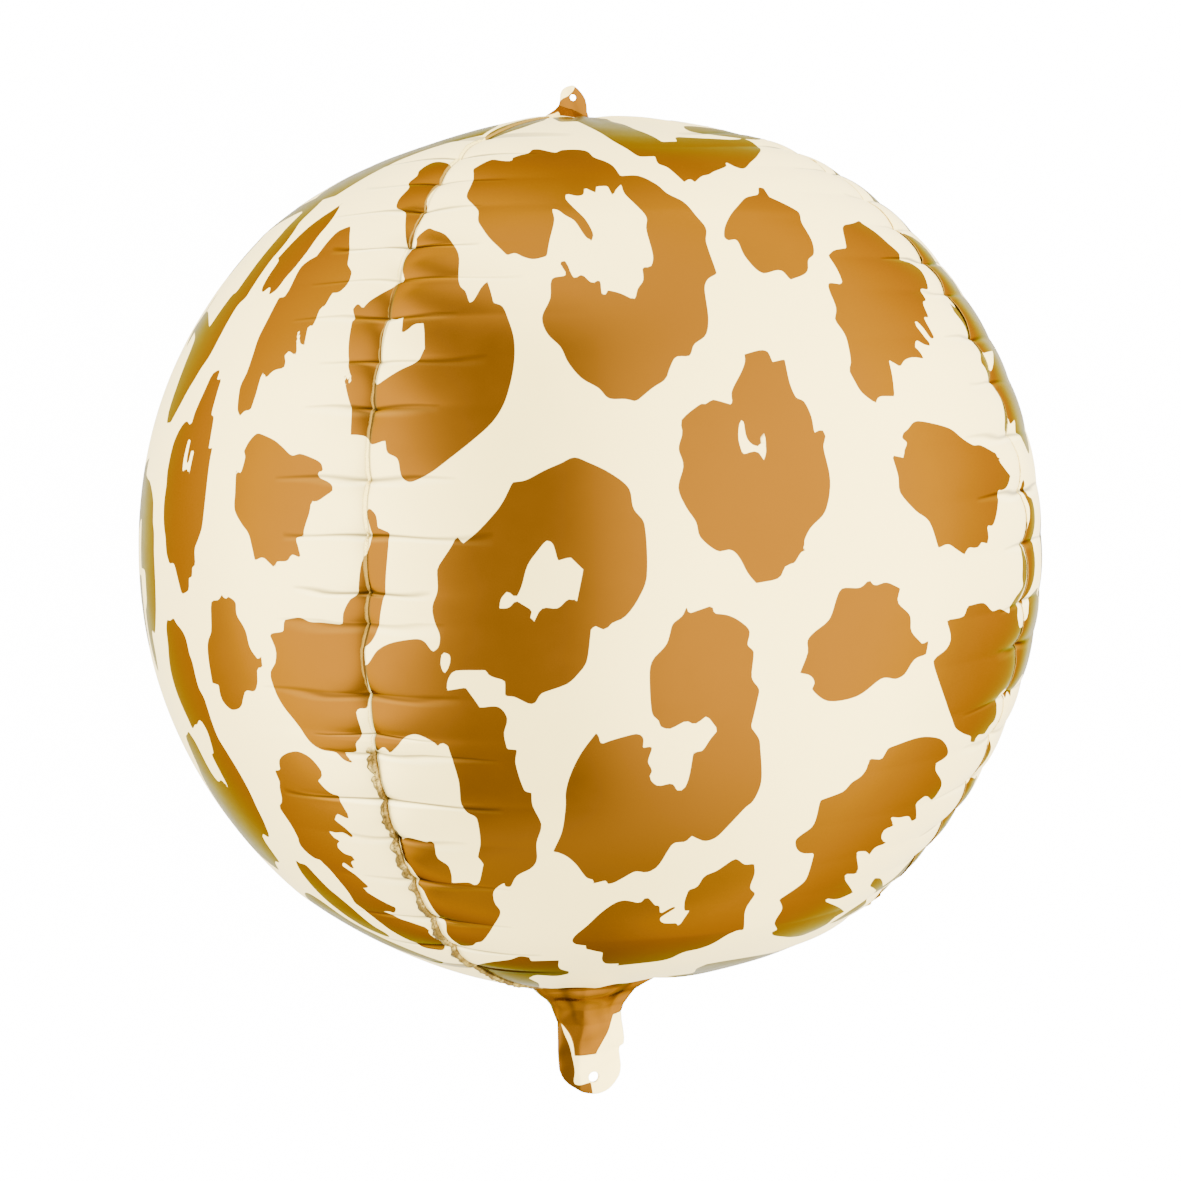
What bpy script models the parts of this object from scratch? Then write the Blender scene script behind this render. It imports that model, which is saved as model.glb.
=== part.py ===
# Sphere foil balloon: four gores of printed film, welded along four seams into one sealed envelope.
# A hanging tab stands at one pole and a flat filling neck at the other, both part of the same film.
# It lies on its side: the axis from neck to tab runs along +Y, and the origin is the centre of the
# small flat spot that it rests on. Longitudes turn about that axis, from straight up towards +X.

import math

import bmesh
import bpy
from mathutils import Vector

# Inflated body, in metres and degrees
EQUATOR_DIAMETER = 0.400
TAB_POLE_RADIUS = 0.192
NECK_POLE_RADIUS = 0.1945
FLATTENING_STARTS = 45.0
GORE_FLATNESS = 0.018
REST_SPOT_DIAMETER = 0.068

# Gores and the welded seams between them
GORE_COUNT = 4
FIRST_SEAM_LONGITUDE = -25.2
SEAM_GROOVE_DEPTH = 0.0020
SEAM_GROOVE_WIDTH = 0.016
FLANGE_WIDTH = 0.0040
FLANGE_THICKNESS = 0.0012
FLANGE_LEAN = 0.0012
PUCKER_PITCH = 0.0185
PUCKER_DEPTH = 0.0030
PUCKER_REACH = 0.034

# Hanging tab
TAB_WIDTH = 0.0135
TAB_LENGTH = 0.0136
TAB_SIDE_SHIFT = -0.0043
TAB_THICKNESS = 0.0012
TAB_ROOT_FILLET = 0.0040
TAB_HOLE_DIAMETER = 0.0030
TAB_HOLE_FROM_TIP = 0.0052

# Filling neck
NECK_WIDTH = 0.0290
NECK_LENGTH = 0.0602
NECK_SIDE_SHIFT = -0.0035
NECK_THICKNESS = 0.0016
NECK_ROOT_FILLET = 0.0040
NECK_HOLE_DIAMETER = 0.0050
NECK_HOLE_FROM_TIP = 0.0083
FUNNEL_LENGTH = 0.0395
FUNNEL_ROOT_WIDTH = 0.0640
FUNNEL_ROOT_THICKNESS = 0.0400
FUNNEL_PLEATS = 5
FUNNEL_PLEAT_DEPTH = 0.0016

# How finely curves are divided
COLUMNS_PER_GORE = 13
COLUMN_CROWDING = 0.5
ARC_STEPS = 8
HOLE_SIDES = 20
FUNNEL_SIDES = 40
FUNNEL_RINGS = 7

# How deep the tab, the neck and the funnel are rooted in the body
ROOT_DEPTH = 0.010
CUTTER_MARGIN = 0.002

# Printed film, lit cream
FILM_COLOUR = (0.92, 0.86, 0.74, 1.0)
FILM_ROUGHNESS = 0.25
FILM_METALLIC = 0.35

EQUATOR_RADIUS = EQUATOR_DIAMETER / 2
GORE_ANGLE = 360.0 / GORE_COUNT
PRINT_FACING_LONGITUDE = FIRST_SEAM_LONGITUDE + GORE_ANGLE / 2
CENTRE_HEIGHT = math.sqrt(EQUATOR_RADIUS**2 - (REST_SPOT_DIAMETER / 2) ** 2)
CENTRE = Vector((0.0, 0.0, CENTRE_HEIGHT))
TO_TAB = Vector((0.0, 1.0, 0.0))

# Each end as its direction, the distance from the centre to its pole, and its sideways shift
TAB_END = (TO_TAB, TAB_POLE_RADIUS, TAB_SIDE_SHIFT)
NECK_END = (-TO_TAB, NECK_POLE_RADIUS, NECK_SIDE_SHIFT)


def clear_scene():
    for old in list(bpy.data.objects):
        bpy.data.objects.remove(old, do_unlink=True)


def outward(longitude):
    """Level direction away from the balloon's axis, at this longitude in degrees."""
    angle = math.radians(longitude)
    return Vector((math.sin(angle), 0.0, math.cos(angle)))


def film_radius(longitude, latitude):
    """Distance from the centre to the smooth film: flattened towards both poles, most so midway between seams."""
    share = max(0.0, (abs(latitude) - FLATTENING_STARTS) / (90.0 - FLATTENING_STARTS))
    pole_radius = TAB_POLE_RADIUS if latitude > 0 else NECK_POLE_RADIUS
    flattened = (1.0 - math.cos(math.pi * share)) / 2
    turn = 2 * math.pi * (longitude - FIRST_SEAM_LONGITUDE) / GORE_ANGLE
    sunk = GORE_FLATNESS * math.sin(math.pi * share) * (1.0 - math.cos(turn)) / 2
    return (EQUATOR_RADIUS - (EQUATOR_RADIUS - pole_radius) * flattened) * (1.0 - sunk)


def body_point(longitude, latitude, lift):
    level = math.cos(math.radians(latitude))
    rise = math.sin(math.radians(latitude))
    radius = film_radius(longitude, latitude) + lift
    return CENTRE + radius * (level * outward(longitude) + rise * TO_TAB)


def gore_lift(angle_from_seam, latitude, row):
    """How far the film stands off the smooth body: a groove along the seam, puckered row by row."""
    level = math.cos(math.radians(latitude))
    off_seam = math.radians(min(angle_from_seam, GORE_ANGLE - angle_from_seam)) * EQUATOR_RADIUS * level
    groove = SEAM_GROOVE_DEPTH * math.exp(-((2 * off_seam / SEAM_GROOVE_WIDTH) ** 2))
    pucker = PUCKER_DEPTH * max(0.0, 1.0 - off_seam / PUCKER_REACH) * (1 if row % 2 else -1)
    return (pucker / 2 - groove) * level


def gore_angles():
    """Angles from a seam to the columns of one gore, crowded towards both seams."""
    angles = []
    for step in range(1, COLUMNS_PER_GORE):
        turn = step / COLUMNS_PER_GORE
        crowded = turn - COLUMN_CROWDING * math.sin(2 * math.pi * turn) / (2 * math.pi)
        angles.append(GORE_ANGLE * crowded)
    return angles


def row_points(latitude, row):
    """One ring round the body, with a thin leaning flange standing on each seam."""
    level = math.cos(math.radians(latitude))
    inner_angles = gore_angles()
    per_metre = math.degrees(1.0 / (film_radius(FIRST_SEAM_LONGITUDE, latitude) * level))
    foot_angle = min(FLANGE_THICKNESS / 2 * per_metre, inner_angles[0] / 2)
    lean_angle = min(FLANGE_LEAN * per_metre, inner_angles[0] / 2)
    points = []
    for gore in range(GORE_COUNT):
        seam = FIRST_SEAM_LONGITUDE + gore * GORE_ANGLE
        foot_lift = gore_lift(0.0, latitude, row)
        tip_lift = foot_lift + FLANGE_WIDTH * level**0.5
        points.append(body_point(seam - foot_angle, latitude, foot_lift))
        points.append(body_point(seam - lean_angle, latitude, tip_lift))
        points.append(body_point(seam + foot_angle, latitude, foot_lift))
        for angle in inner_angles:
            points.append(body_point(seam + angle, latitude, gore_lift(angle, latitude, row)))
    return points


def add_ring(mesh, points):
    return [mesh.verts.new(point) for point in points]


def join_rings(mesh, lower, upper):
    count = len(lower)
    for index in range(count):
        following = (index + 1) % count
        mesh.faces.new((lower[index], lower[following], upper[following], upper[index]))


def close_with_fan(mesh, ring, tip):
    for index, vertex in enumerate(ring):
        mesh.faces.new((vertex, ring[(index + 1) % len(ring)], tip))


def new_object(name, mesh):
    bmesh.ops.recalc_face_normals(mesh, faces=mesh.faces)
    data = bpy.data.meshes.new(name)
    mesh.to_mesh(data)
    mesh.free()
    made = bpy.data.objects.new(name, data)
    bpy.context.scene.collection.objects.link(made)
    return made


def hide_helper(helper):
    helper.hide_render = True
    helper.display_type = "WIRE"
    return helper


def flatten_rest_spot(mesh):
    """Cuts the body level just above the ground and closes the cut with one flat face."""
    geometry = mesh.verts[:] + mesh.edges[:] + mesh.faces[:]
    cut = bmesh.ops.bisect_plane(mesh, geom=geometry, plane_co=(0, 0, 0), plane_no=(0, 0, 1), clear_inner=True)
    rim = [piece for piece in cut["geom_cut"] if isinstance(piece, bmesh.types.BMEdge)]
    bmesh.ops.holes_fill(mesh, edges=rim, sides=0)


def build_body():
    mesh = bmesh.new()
    meridian = math.pi * (2 * EQUATOR_RADIUS + TAB_POLE_RADIUS + NECK_POLE_RADIUS) / 4
    rows = 2 * round(meridian / PUCKER_PITCH)
    rings = []
    for row in range(1, rows):
        rings.append(add_ring(mesh, row_points(-90.0 + 180.0 * row / rows, row)))
    for lower, upper in zip(rings, rings[1:]):
        join_rings(mesh, lower, upper)
    close_with_fan(mesh, rings[0], mesh.verts.new(CENTRE - NECK_POLE_RADIUS * TO_TAB))
    close_with_fan(mesh, rings[-1], mesh.verts.new(CENTRE + TAB_POLE_RADIUS * TO_TAB))
    flatten_rest_spot(mesh)
    return new_object("foil_envelope", mesh)


def plate_outline(width, length, root_fillet):
    """Outline of a flat tongue as (across, out from the pole): filleted root, straight sides, round end."""
    half = width / 2
    side = [(half + root_fillet, -ROOT_DEPTH)]
    for step in range(ARC_STEPS + 1):
        angle = math.radians(90.0 * step / ARC_STEPS)
        side.append((half + root_fillet * (1 - math.sin(angle)), root_fillet * (1 - math.cos(angle))))
    for step in range(ARC_STEPS):
        angle = math.radians(90.0 * step / ARC_STEPS)
        side.append((half * math.cos(angle), length - half + half * math.sin(angle)))
    mirrored = [(-across, out) for across, out in reversed(side)]
    return side + [(0.0, length)] + mirrored


def place_on_pole(across, out, off, end):
    """A point by its place on the tab or neck: across it, out along the axis and off its middle plane."""
    away, pole_radius, side_shift = end
    sideways = (across + side_shift) * outward(PRINT_FACING_LONGITUDE + 90.0)
    return CENTRE + sideways + off * outward(PRINT_FACING_LONGITUDE) + (pole_radius + out) * away


def build_plate(name, outline, thickness, end):
    mesh = bmesh.new()
    front = add_ring(mesh, [place_on_pole(across, out, thickness / 2, end) for across, out in outline])
    back = add_ring(mesh, [place_on_pole(across, out, -thickness / 2, end) for across, out in outline])
    join_rings(mesh, back, front)
    mesh.faces.new(front)
    mesh.faces.new(reversed(back))
    return hide_helper(new_object(name, mesh))


def build_hole_cutter(name, diameter, out, thickness, end):
    mesh = bmesh.new()
    reach = thickness / 2 + CUTTER_MARGIN
    circle = []
    for side in range(HOLE_SIDES):
        angle = 2 * math.pi * side / HOLE_SIDES
        circle.append((diameter / 2 * math.cos(angle), out + diameter / 2 * math.sin(angle)))
    front = add_ring(mesh, [place_on_pole(across, along, reach, end) for across, along in circle])
    back = add_ring(mesh, [place_on_pole(across, along, -reach, end) for across, along in circle])
    join_rings(mesh, back, front)
    mesh.faces.new(front)
    mesh.faces.new(reversed(back))
    return hide_helper(new_object(name, mesh))


def funnel_ring(share):
    """Lens-shaped pleated section of the gathered film, from its root (0) to where it lies flat (1)."""
    gather = (1.0 - share) ** 2
    half_width = (NECK_WIDTH + (FUNNEL_ROOT_WIDTH - NECK_WIDTH) * gather) / 2 - NECK_THICKNESS / 2
    half_thickness = (NECK_THICKNESS + (FUNNEL_ROOT_THICKNESS - NECK_THICKNESS) * gather) / 2
    pleat = FUNNEL_PLEAT_DEPTH * (1.0 - share)
    out = FUNNEL_LENGTH * share - ROOT_DEPTH * (1.0 - share)
    points = []
    for side in range(FUNNEL_SIDES):
        angle = 2 * math.pi * side / FUNNEL_SIDES
        ripple = pleat * math.cos(2 * FUNNEL_PLEATS * angle)
        across = half_width * math.cos(angle)
        off = (half_thickness + ripple) * math.sin(angle)
        points.append(place_on_pole(across, out, off, NECK_END))
    return points


def build_funnel():
    mesh = bmesh.new()
    rings = [add_ring(mesh, funnel_ring(step / FUNNEL_RINGS)) for step in range(FUNNEL_RINGS + 1)]
    for inner, outer in zip(rings, rings[1:]):
        join_rings(mesh, inner, outer)
    mesh.faces.new(rings[0])
    mesh.faces.new(reversed(rings[-1]))
    return hide_helper(new_object("neck_funnel", mesh))


def add_boolean(target, helper, operation):
    step = target.modifiers.new(f"{operation.lower()} {helper.name}", "BOOLEAN")
    step.operation = operation
    step.solver = "EXACT"
    step.object = helper


def film_material():
    material = bpy.data.materials.new("printed_foil")
    material.use_nodes = True
    shader = material.node_tree.nodes["Principled BSDF"]
    shader.inputs["Base Color"].default_value = FILM_COLOUR
    shader.inputs["Roughness"].default_value = FILM_ROUGHNESS
    shader.inputs["Metallic"].default_value = FILM_METALLIC
    return material


def build_balloon():
    clear_scene()
    envelope = build_body()
    tab = build_plate(
        "tab_plate", plate_outline(TAB_WIDTH, TAB_LENGTH, TAB_ROOT_FILLET), TAB_THICKNESS, TAB_END
    )
    neck = build_plate(
        "neck_plate", plate_outline(NECK_WIDTH, NECK_LENGTH, NECK_ROOT_FILLET), NECK_THICKNESS, NECK_END
    )
    tab_hole = build_hole_cutter(
        "tab_hole", TAB_HOLE_DIAMETER, TAB_LENGTH - TAB_HOLE_FROM_TIP, TAB_THICKNESS, TAB_END
    )
    neck_hole = build_hole_cutter(
        "neck_hole", NECK_HOLE_DIAMETER, NECK_LENGTH - NECK_HOLE_FROM_TIP, NECK_THICKNESS, NECK_END
    )
    for helper in (tab, neck, build_funnel()):
        add_boolean(envelope, helper, "UNION")
    for helper in (tab_hole, neck_hole):
        add_boolean(envelope, helper, "DIFFERENCE")
    envelope.data.materials.append(film_material())
    envelope.data.shade_smooth()


build_balloon()
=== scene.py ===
# Sphere foil balloon with a leopard spot print, lying loose on its flat spot.
# Four gores of printed film, four weld flanges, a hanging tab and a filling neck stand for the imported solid.
import math

import bpy
import numpy as np
from mathutils import Matrix, Vector


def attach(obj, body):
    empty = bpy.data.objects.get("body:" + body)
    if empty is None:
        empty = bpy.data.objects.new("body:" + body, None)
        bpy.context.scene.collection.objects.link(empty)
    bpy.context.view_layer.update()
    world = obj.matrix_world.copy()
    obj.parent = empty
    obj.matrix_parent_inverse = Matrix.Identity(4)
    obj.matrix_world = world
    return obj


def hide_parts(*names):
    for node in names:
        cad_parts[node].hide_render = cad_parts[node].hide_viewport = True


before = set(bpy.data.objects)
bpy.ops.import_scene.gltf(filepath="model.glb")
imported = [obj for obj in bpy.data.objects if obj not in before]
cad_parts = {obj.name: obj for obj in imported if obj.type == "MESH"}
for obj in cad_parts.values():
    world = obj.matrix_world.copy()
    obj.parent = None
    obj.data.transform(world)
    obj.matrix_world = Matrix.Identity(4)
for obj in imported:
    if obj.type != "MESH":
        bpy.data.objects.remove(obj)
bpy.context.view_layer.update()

# Body: the same profile as the solid, sizes in metres and angles in degrees.
# Longitude turns about the axis from straight up towards +X, latitude rises to the tab.
body = {
    "centre": (0.0, 0.0, 0.197089),
    "radius": 0.2,
    "tabPole": 0.192,
    "neckPole": 0.1945,
    "flatFrom": 45.0,
    "goreFlatness": 0.018,
    "firstSeam": -25.2,
    "goreAngle": 90.0,
    "printFacing": 19.8,
}


def outward(lon):
    return np.stack([np.sin(np.radians(lon)), np.zeros_like(lon), np.cos(np.radians(lon))], -1)


def filmRadius(lon, lat):
    share = np.clip((np.abs(lat) - body["flatFrom"]) / (90 - body["flatFrom"]), 0, 1)
    pole = np.where(lat > 0, body["tabPole"], body["neckPole"])
    turn = 2 * np.pi * (lon - body["firstSeam"]) / body["goreAngle"]
    sunk = body["goreFlatness"] * np.sin(np.pi * share) * (1 - np.cos(turn)) / 2
    flattened = (1 - np.cos(np.pi * share)) / 2
    return (body["radius"] - (body["radius"] - pole) * flattened) * (1 - sunk)


def onFilm(lon, lat, lift):
    reach = filmRadius(lon, lat) + lift
    level = np.cos(np.radians(lat))
    point = outward(lon) * (reach * level)[:, None]
    point[:, 1] = reach * np.sin(np.radians(lat))
    return point + np.array(body["centre"])


# Small helpers
def deselectAll():
    if bpy.context.mode != "OBJECT":
        bpy.ops.object.mode_set(mode="OBJECT")
    bpy.ops.object.select_all(action="DESELECT")


def selectOnly(obj):
    deselectAll()
    obj.select_set(True)
    bpy.context.view_layer.objects.active = obj


def points(obj):
    co = np.zeros(len(obj.data.vertices) * 3)
    obj.data.vertices.foreach_get("co", co)
    return co.reshape(-1, 3)


def movePoints(obj, co):
    obj.data.vertices.foreach_set("co", co.astype(np.float32).ravel())
    obj.data.update()


def addGrid(name, columns, rows):
    # a unit grid, reshaped afterwards: u runs across and v runs along, both 0 to 1
    deselectAll()
    bpy.ops.mesh.primitive_grid_add(x_subdivisions=columns, y_subdivisions=rows, size=1, location=(0, 0, 0))
    obj = bpy.context.object
    obj.name = obj.data.name = name
    co = points(obj)
    return obj, co[:, 0] + 0.5, co[:, 1] + 0.5


def mergeDoubles(obj, distance=1e-6):
    selectOnly(obj)
    bpy.ops.object.mode_set(mode="EDIT")
    bpy.ops.mesh.select_all(action="SELECT")
    bpy.ops.mesh.remove_doubles(threshold=distance)
    bpy.ops.object.mode_set(mode="OBJECT")


def thicken(obj, thickness):
    solid = obj.modifiers.new("thickness", "SOLIDIFY")
    solid.thickness = thickness
    solid.offset = 0


def applyModifiers(obj):
    selectOnly(obj)
    for modifier in list(obj.modifiers):
        bpy.ops.object.modifier_apply(modifier=modifier.name)


def setValues(obj, name, values):
    layer = obj.data.attributes.get(name) or obj.data.attributes.new(name, "FLOAT", "POINT")
    layer.data.foreach_set("value", values.astype(np.float32))


def finishPiece(obj, material):
    obj.data.materials.clear()
    obj.data.materials.append(material)
    obj.data.shade_smooth()
    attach(obj, "root")
    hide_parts("foil_envelope")


def smoothStep(low, high, value):
    t = np.clip((value - low) / (high - low), 0, 1)
    return t * t * (3 - 2 * t)


# Print: outlines of the spots in (longitude, latitude), read round each spot. A few beside the right weld are
# painted shade, drawn in the print's brown.
# A third value of 1 marks a sharp corner.
frontPrint = [
    {"name": "topRing", "outline": [
        (-21.4, 54.1, 1), (-19.8, 55.6), (-18.6, 56.2), (-16.4, 55.75), (-14.2, 55.5, 1), (-14.5, 56.4, 1),
        (-13.2, 57.1), (-11.6, 57.6), (-11.2, 58.4), (-9.6, 58.4), (-5.9, 57.4), (-4.6, 58), (-1, 58),
        (1.1, 57.4), (2.3, 55.9), (4.4, 54.9), (5.8, 53.8), (6.75, 51.6, 1), (10.1, 51.6), (12.75, 49.9),
        (14, 48.1), (16.1, 46.6), (17.2, 44.3), (18.1, 42.25), (17.4, 40.2), (17.6, 35.75, 1), (16.1, 35),
        (15.4, 33.8), (15.1, 30.2), (14.4, 28.1), (12.75, 27), (12, 25.7), (10.4, 25.6), (9.5, 24.3),
        (8.9, 23.1), (7.4, 22.2), (5.4, 20.7, 1), (4.2, 21), (2.4, 21.1), (1.3, 22.25), (-0.6, 23.4),
        (-2.1, 25.2), (-3, 27), (-4.6, 28.6), (-5.3, 30.6), (-4.4, 32.9), (-4.3, 35.4), (-2.5, 35.9),
        (-3.3, 37.5), (-2.7, 37.8), (-2.25, 37.2), (-1.4, 35.5), (-0.4, 35.9), (0.9, 34.8), (1.9, 35.1),
        (2.1, 33.3), (2.6, 33.3), (2.75, 33.8), (4.4, 33.4), (6, 32.6), (6.3, 32.9), (6.7, 34), (7.5, 35),
        (7.6, 36.8, 1), (8.8, 36.9), (9.3, 38.4), (9, 42.2), (9.4, 44), (8.3, 45.9), (6.75, 48.1),
        (6.5, 49.9, 1), (5.4, 48.8), (4.8, 47.5, 1), (4.1, 49.6, 1), (2.2, 49.6, 1), (2, 48.3, 1),
        (0.1, 49.4, 1), (0, 48.1), (-1, 47.8), (-2.8, 48.25, 1), (-2.9, 47.4), (-1.4, 45.6), (0.25, 43.8),
        (1.3, 41.6), (1, 40.5, 1), (0.1, 41.3), (-1.4, 43.6), (-2.8, 44.5), (-4, 45.4), (-4.9, 45.6, 1),
        (-4.4, 43.8), (-4.9, 40.6), (-5.1, 38.5, 1), (-6.8, 38.1), (-8.2, 38.4), (-9.6, 39),
        (-10.6, 38.7, 1), (-12.1, 40), (-13.75, 41.4), (-15, 42.7), (-16.1, 44), (-16.6, 45.6),
        (-17.9, 46.8), (-19.6, 48.25), (-19.9, 50.6), (-20.4, 52.4)]},
    {"name": "topRightSpot", "outline": [
        (20.4, 40.9), (21.1, 42.4), (22.9, 44.3), (25.1, 45.9), (27.6, 47.4), (29.7, 47.9), (30.6, 48.1),
        (31.4, 48.8), (32.1, 49.5), (33.1, 49.4, 1), (32.6, 47.7, 1), (34.4, 46.6), (35.8, 45.6),
        (36.3, 44.9), (35.4, 43.25), (35.2, 40.6), (34.2, 38.6), (32.6, 37.7), (31.7, 36.3), (30.6, 35.6),
        (28.1, 34.9, 1), (27.1, 36.2), (24.4, 35.75), (23.3, 36.5), (22.4, 38.4), (22.2, 40.4),
        (20.8, 40.4, 1)]},
    {"name": "tornSpotRight", "outline": [
        (50.3, 44.3, 1), (52.25, 42.4), (53.5, 40.6), (55, 39.3, 1), (54, 38.4, 1), (55.8, 38.1),
        (57.4, 37.4), (58, 36.6), (57.4, 35.2), (56.5, 34.1), (54, 34), (53.5, 32.5), (52, 32),
        (51.4, 30, 1), (50.1, 29.9), (50.6, 27.5, 1), (49.6, 27.4), (48.75, 28.7), (47.9, 29.5),
        (47.1, 29.3, 1), (47.9, 28.1), (48.7, 26.8), (48.4, 26.4, 1), (47.25, 26.6), (46, 27.1),
        (45.1, 26.3, 1), (45.7, 25.6), (45.9, 24.8, 1), (43.9, 25), (42.1, 24.7), (40.8, 23.9, 1),
        (39.2, 24.75, 1), (38.9, 22.7), (38.3, 20.5, 1), (35.8, 20.5), (35, 19.75, 1), (33.3, 21.1),
        (32.6, 22.7), (32.25, 23.7, 1), (32.9, 24.5), (33.3, 26.3), (33.4, 27.9), (32.6, 29.7, 1),
        (33.6, 31.3), (33.7, 33.4), (34.2, 34.5), (36.4, 34.4), (36.8, 35.2), (36.9, 36.6), (36.7, 38.4, 1),
        (38.5, 39.2), (41.4, 39.6, 1), (43.5, 42.5), (44.9, 43.3), (47.4, 43.7)]},
    {"name": "middleRightSpot", "outline": [
        (18.7, 25.75, 1), (20.8, 26.2), (21.75, 26), (22.1, 24.8, 1), (23.75, 25.1, 1), (23.75, 22.4),
        (24.2, 20.75), (25.1, 20.3), (25.7, 18.6), (25.7, 16.8, 1), (26.7, 17.1), (27.1, 16.4),
        (26.6, 15.2), (26.9, 11.6), (25.9, 8.4), (24, 6.8), (23.1, 5.4), (23.2, 4.3, 1), (22.6, 4.25),
        (21.9, 3.25), (20.8, 2.9), (20, 1.7), (17.4, 1.3, 1), (16.5, 2.4), (15.6, 4.1), (14.7, 4.9),
        (13.3, 4.8), (11.5, 6.3), (11.1, 7.9), (10.1, 9.5), (9.4, 11.5), (10.1, 13.8), (9.7, 15.6),
        (10.25, 17.2), (10.25, 18.6), (12.6, 20.3), (13.3, 20.3), (14, 20.75), (16.3, 20.1, 1),
        (16.4, 21.6), (17.9, 23.7), (18.6, 24.9)], "holes": [
        [
            (17, 18.4), (17.3, 18.3), (17.4, 16.6), (18, 15.75), (19, 15.6), (19.1, 16.8), (19.6, 16.8),
            (19.5, 14.9), (19.2, 14, 1), (18.6, 14.9), (17.9, 15), (16.8, 14.7, 1), (16.5, 16.3),
            (16.7, 17.7)]]},
    {"name": "farRightSpot", "outline": [
        (41.2, 17.6), (43.9, 17.2), (46.9, 16.5), (48.9, 15.4), (51, 14.5), (52.8, 14.4), (56.3, 13.25, 1),
        (56.5, 12.8), (57.5, 12.6, 1), (56.6, 12.4, 1), (58.1, 11.3), (59.6, 10.4, 1), (58.3, 9.3),
        (56.7, 9), (55.5, 9.1, 1), (55.1, 7.9), (53, 5.3), (51.4, 5.3, 1), (51.7, 4), (51.4, 3.25, 1),
        (49.9, 3.5), (49.6, 3.1), (48.5, 3), (47.25, 3.1), (46.4, 2.4, 1), (44.9, 3.1), (43.3, 3.8),
        (41.6, 3.5, 1), (40.3, 6.5), (38.3, 7.8), (36.2, 9.9), (36.25, 11.6), (35.8, 14, 1),
        (37.6, 13.6, 1), (37.9, 14.5), (38.5, 15.2), (37.9, 15.75, 1), (38, 16.2), (39.2, 16.8),
        (40.1, 17.4)]},
    {"name": "centreRing", "outline": [
        (-1.5, 14.9), (-0.1, 14.4), (2.2, 13.25), (4.2, 11.6), (4.6, 9.5), (5.7, 7.9), (5.8, 2.4),
        (4.7, -0.1), (3.4, -1.7), (2.2, -2.2), (1.4, -2.9), (0.4, -2.5), (0, -2.8, 1), (-0.5, -6.2),
        (-1.4, -7.5), (-2.6, -8.6), (-5.1, -9.5), (-5.5, -9.8), (-6.1, -10.7), (-6.8, -10.7), (-8.2, -10),
        (-9.2, -9.9, 1), (-9.1, -8.2, 1), (-10.7, -7.7), (-11.1, -7.1, 1), (-14.3, -7.2), (-15, -7.7),
        (-15.5, -8.7, 1), (-16.8, -8.2), (-16.7, -5.3), (-16.1, -4.7), (-15.9, -3.5), (-16.4, -2.1),
        (-16.6, -0.5), (-16, 1.3), (-16, 3.4), (-15.5, 4.3), (-14.5, 5.75), (-13.9, 6.9, 1),
        (-13.2, 6.1, 1), (-11.8, 7.2), (-10.4, 8.6), (-9.1, 10.2), (-8, 12.4, 1), (-6.6, 12.6),
        (-4.6, 13.6), (-2.9, 14.3)], "holes": [
        [
            (-4.4, 6.3), (-3.75, 5.9), (-3.3, 4.25, 1), (-2, 4.6, 1), (-0.7, 3.3, 1), (-1.4, 0.1, 1),
            (-2.3, 0.3), (-3.4, -0.6), (-5, -0.6), (-5.9, -2.1, 1), (-6.2, -1.6), (-6, -0.8, 1),
            (-7.7, 0.25, 1), (-8.4, -0.5), (-9.4, -0.6, 1), (-9.2, 0.4), (-8.5, 1.2, 1), (-7.8, 0.6),
            (-7.5, 0.7), (-7, 1.8), (-6.4, 3.8), (-5.4, 5.2)],
        [
            (-15.6, -5.3), (-14.9, -5.6), (-15, -6.6), (-15.6, -7.5), (-16, -6.9), (-15.8, -5.6)]]},
    {"name": "leftHook", "outline": [
        (-26.5, -7.8), (-24.6, -6.9), (-23.2, -5.3), (-21.4, -4.4), (-18.6, -3.9), (-17.7, -4.1),
        (-17.1, -4.8), (-16.8, -5.2, 1), (-16.1, -5.3), (-15.9, -6.9), (-15.4, -8.2), (-15.5, -9.4, 1),
        (-13.4, -9, 1), (-12, -11.2, 1), (-10, -11.1), (-9.1, -12.4), (-9.6, -14.1), (-9.4, -15.9, 1),
        (-8.3, -16, 1), (-8.6, -17.6), (-7.9, -20.9), (-7.1, -21.25, 1), (-7.1, -22.9), (-6.3, -25.1),
        (-6.4, -26.1), (-7.1, -28), (-7.3, -30.4), (-8.2, -31.7), (-10.2, -32.9), (-11.4, -34.8, 1),
        (-12.1, -34.7), (-12.1, -34.1, 1), (-13, -34.7), (-14, -35.8), (-14.2, -37.6), (-13.75, -38.8),
        (-14.1, -39.9), (-15.7, -42.2), (-17.1, -44), (-18.9, -45.9), (-20, -46.3), (-21.4, -47.4),
        (-23.9, -48.2, 1), (-24.6, -46.3), (-24.7, -44.8), (-23.9, -42.6), (-25.2, -42.3),
        (-24.4, -41.6, 1), (-24.7, -36.6), (-25.4, -35.8), (-24.9, -34.9), (-25, -32.6), (-25.9, -31.2),
        (-26.2, -29.7), (-26.2, -27.2, 1), (-25.4, -27.2), (-25.1, -28.8, 1), (-23.6, -28.2),
        (-21.4, -28.6), (-20.8, -28.3), (-20.3, -28.75, 1), (-20.4, -30.6), (-19.2, -31.7), (-19.2, -33.3),
        (-19.6, -34.6, 1), (-17.1, -34.3), (-16.3, -34.7), (-15.5, -34), (-14.3, -31.1, 1),
        (-14.9, -30.25, 1), (-14.1, -27.9), (-14, -24.7), (-15, -24), (-15.6, -22.9), (-15.4, -19.9),
        (-16, -16.1), (-16.1, -15.7), (-16.7, -15.4), (-17.3, -15.8, 1), (-17.6, -15.4), (-19.6, -14.5),
        (-21.1, -15), (-22.1, -16), (-23.3, -17, 1), (-23.9, -16.3), (-24.5, -16.6), (-25.1, -17, 1),
        (-25.6, -15.9), (-26.5, -15)]},
    {"name": "leftStalk", "outline": [
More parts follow.
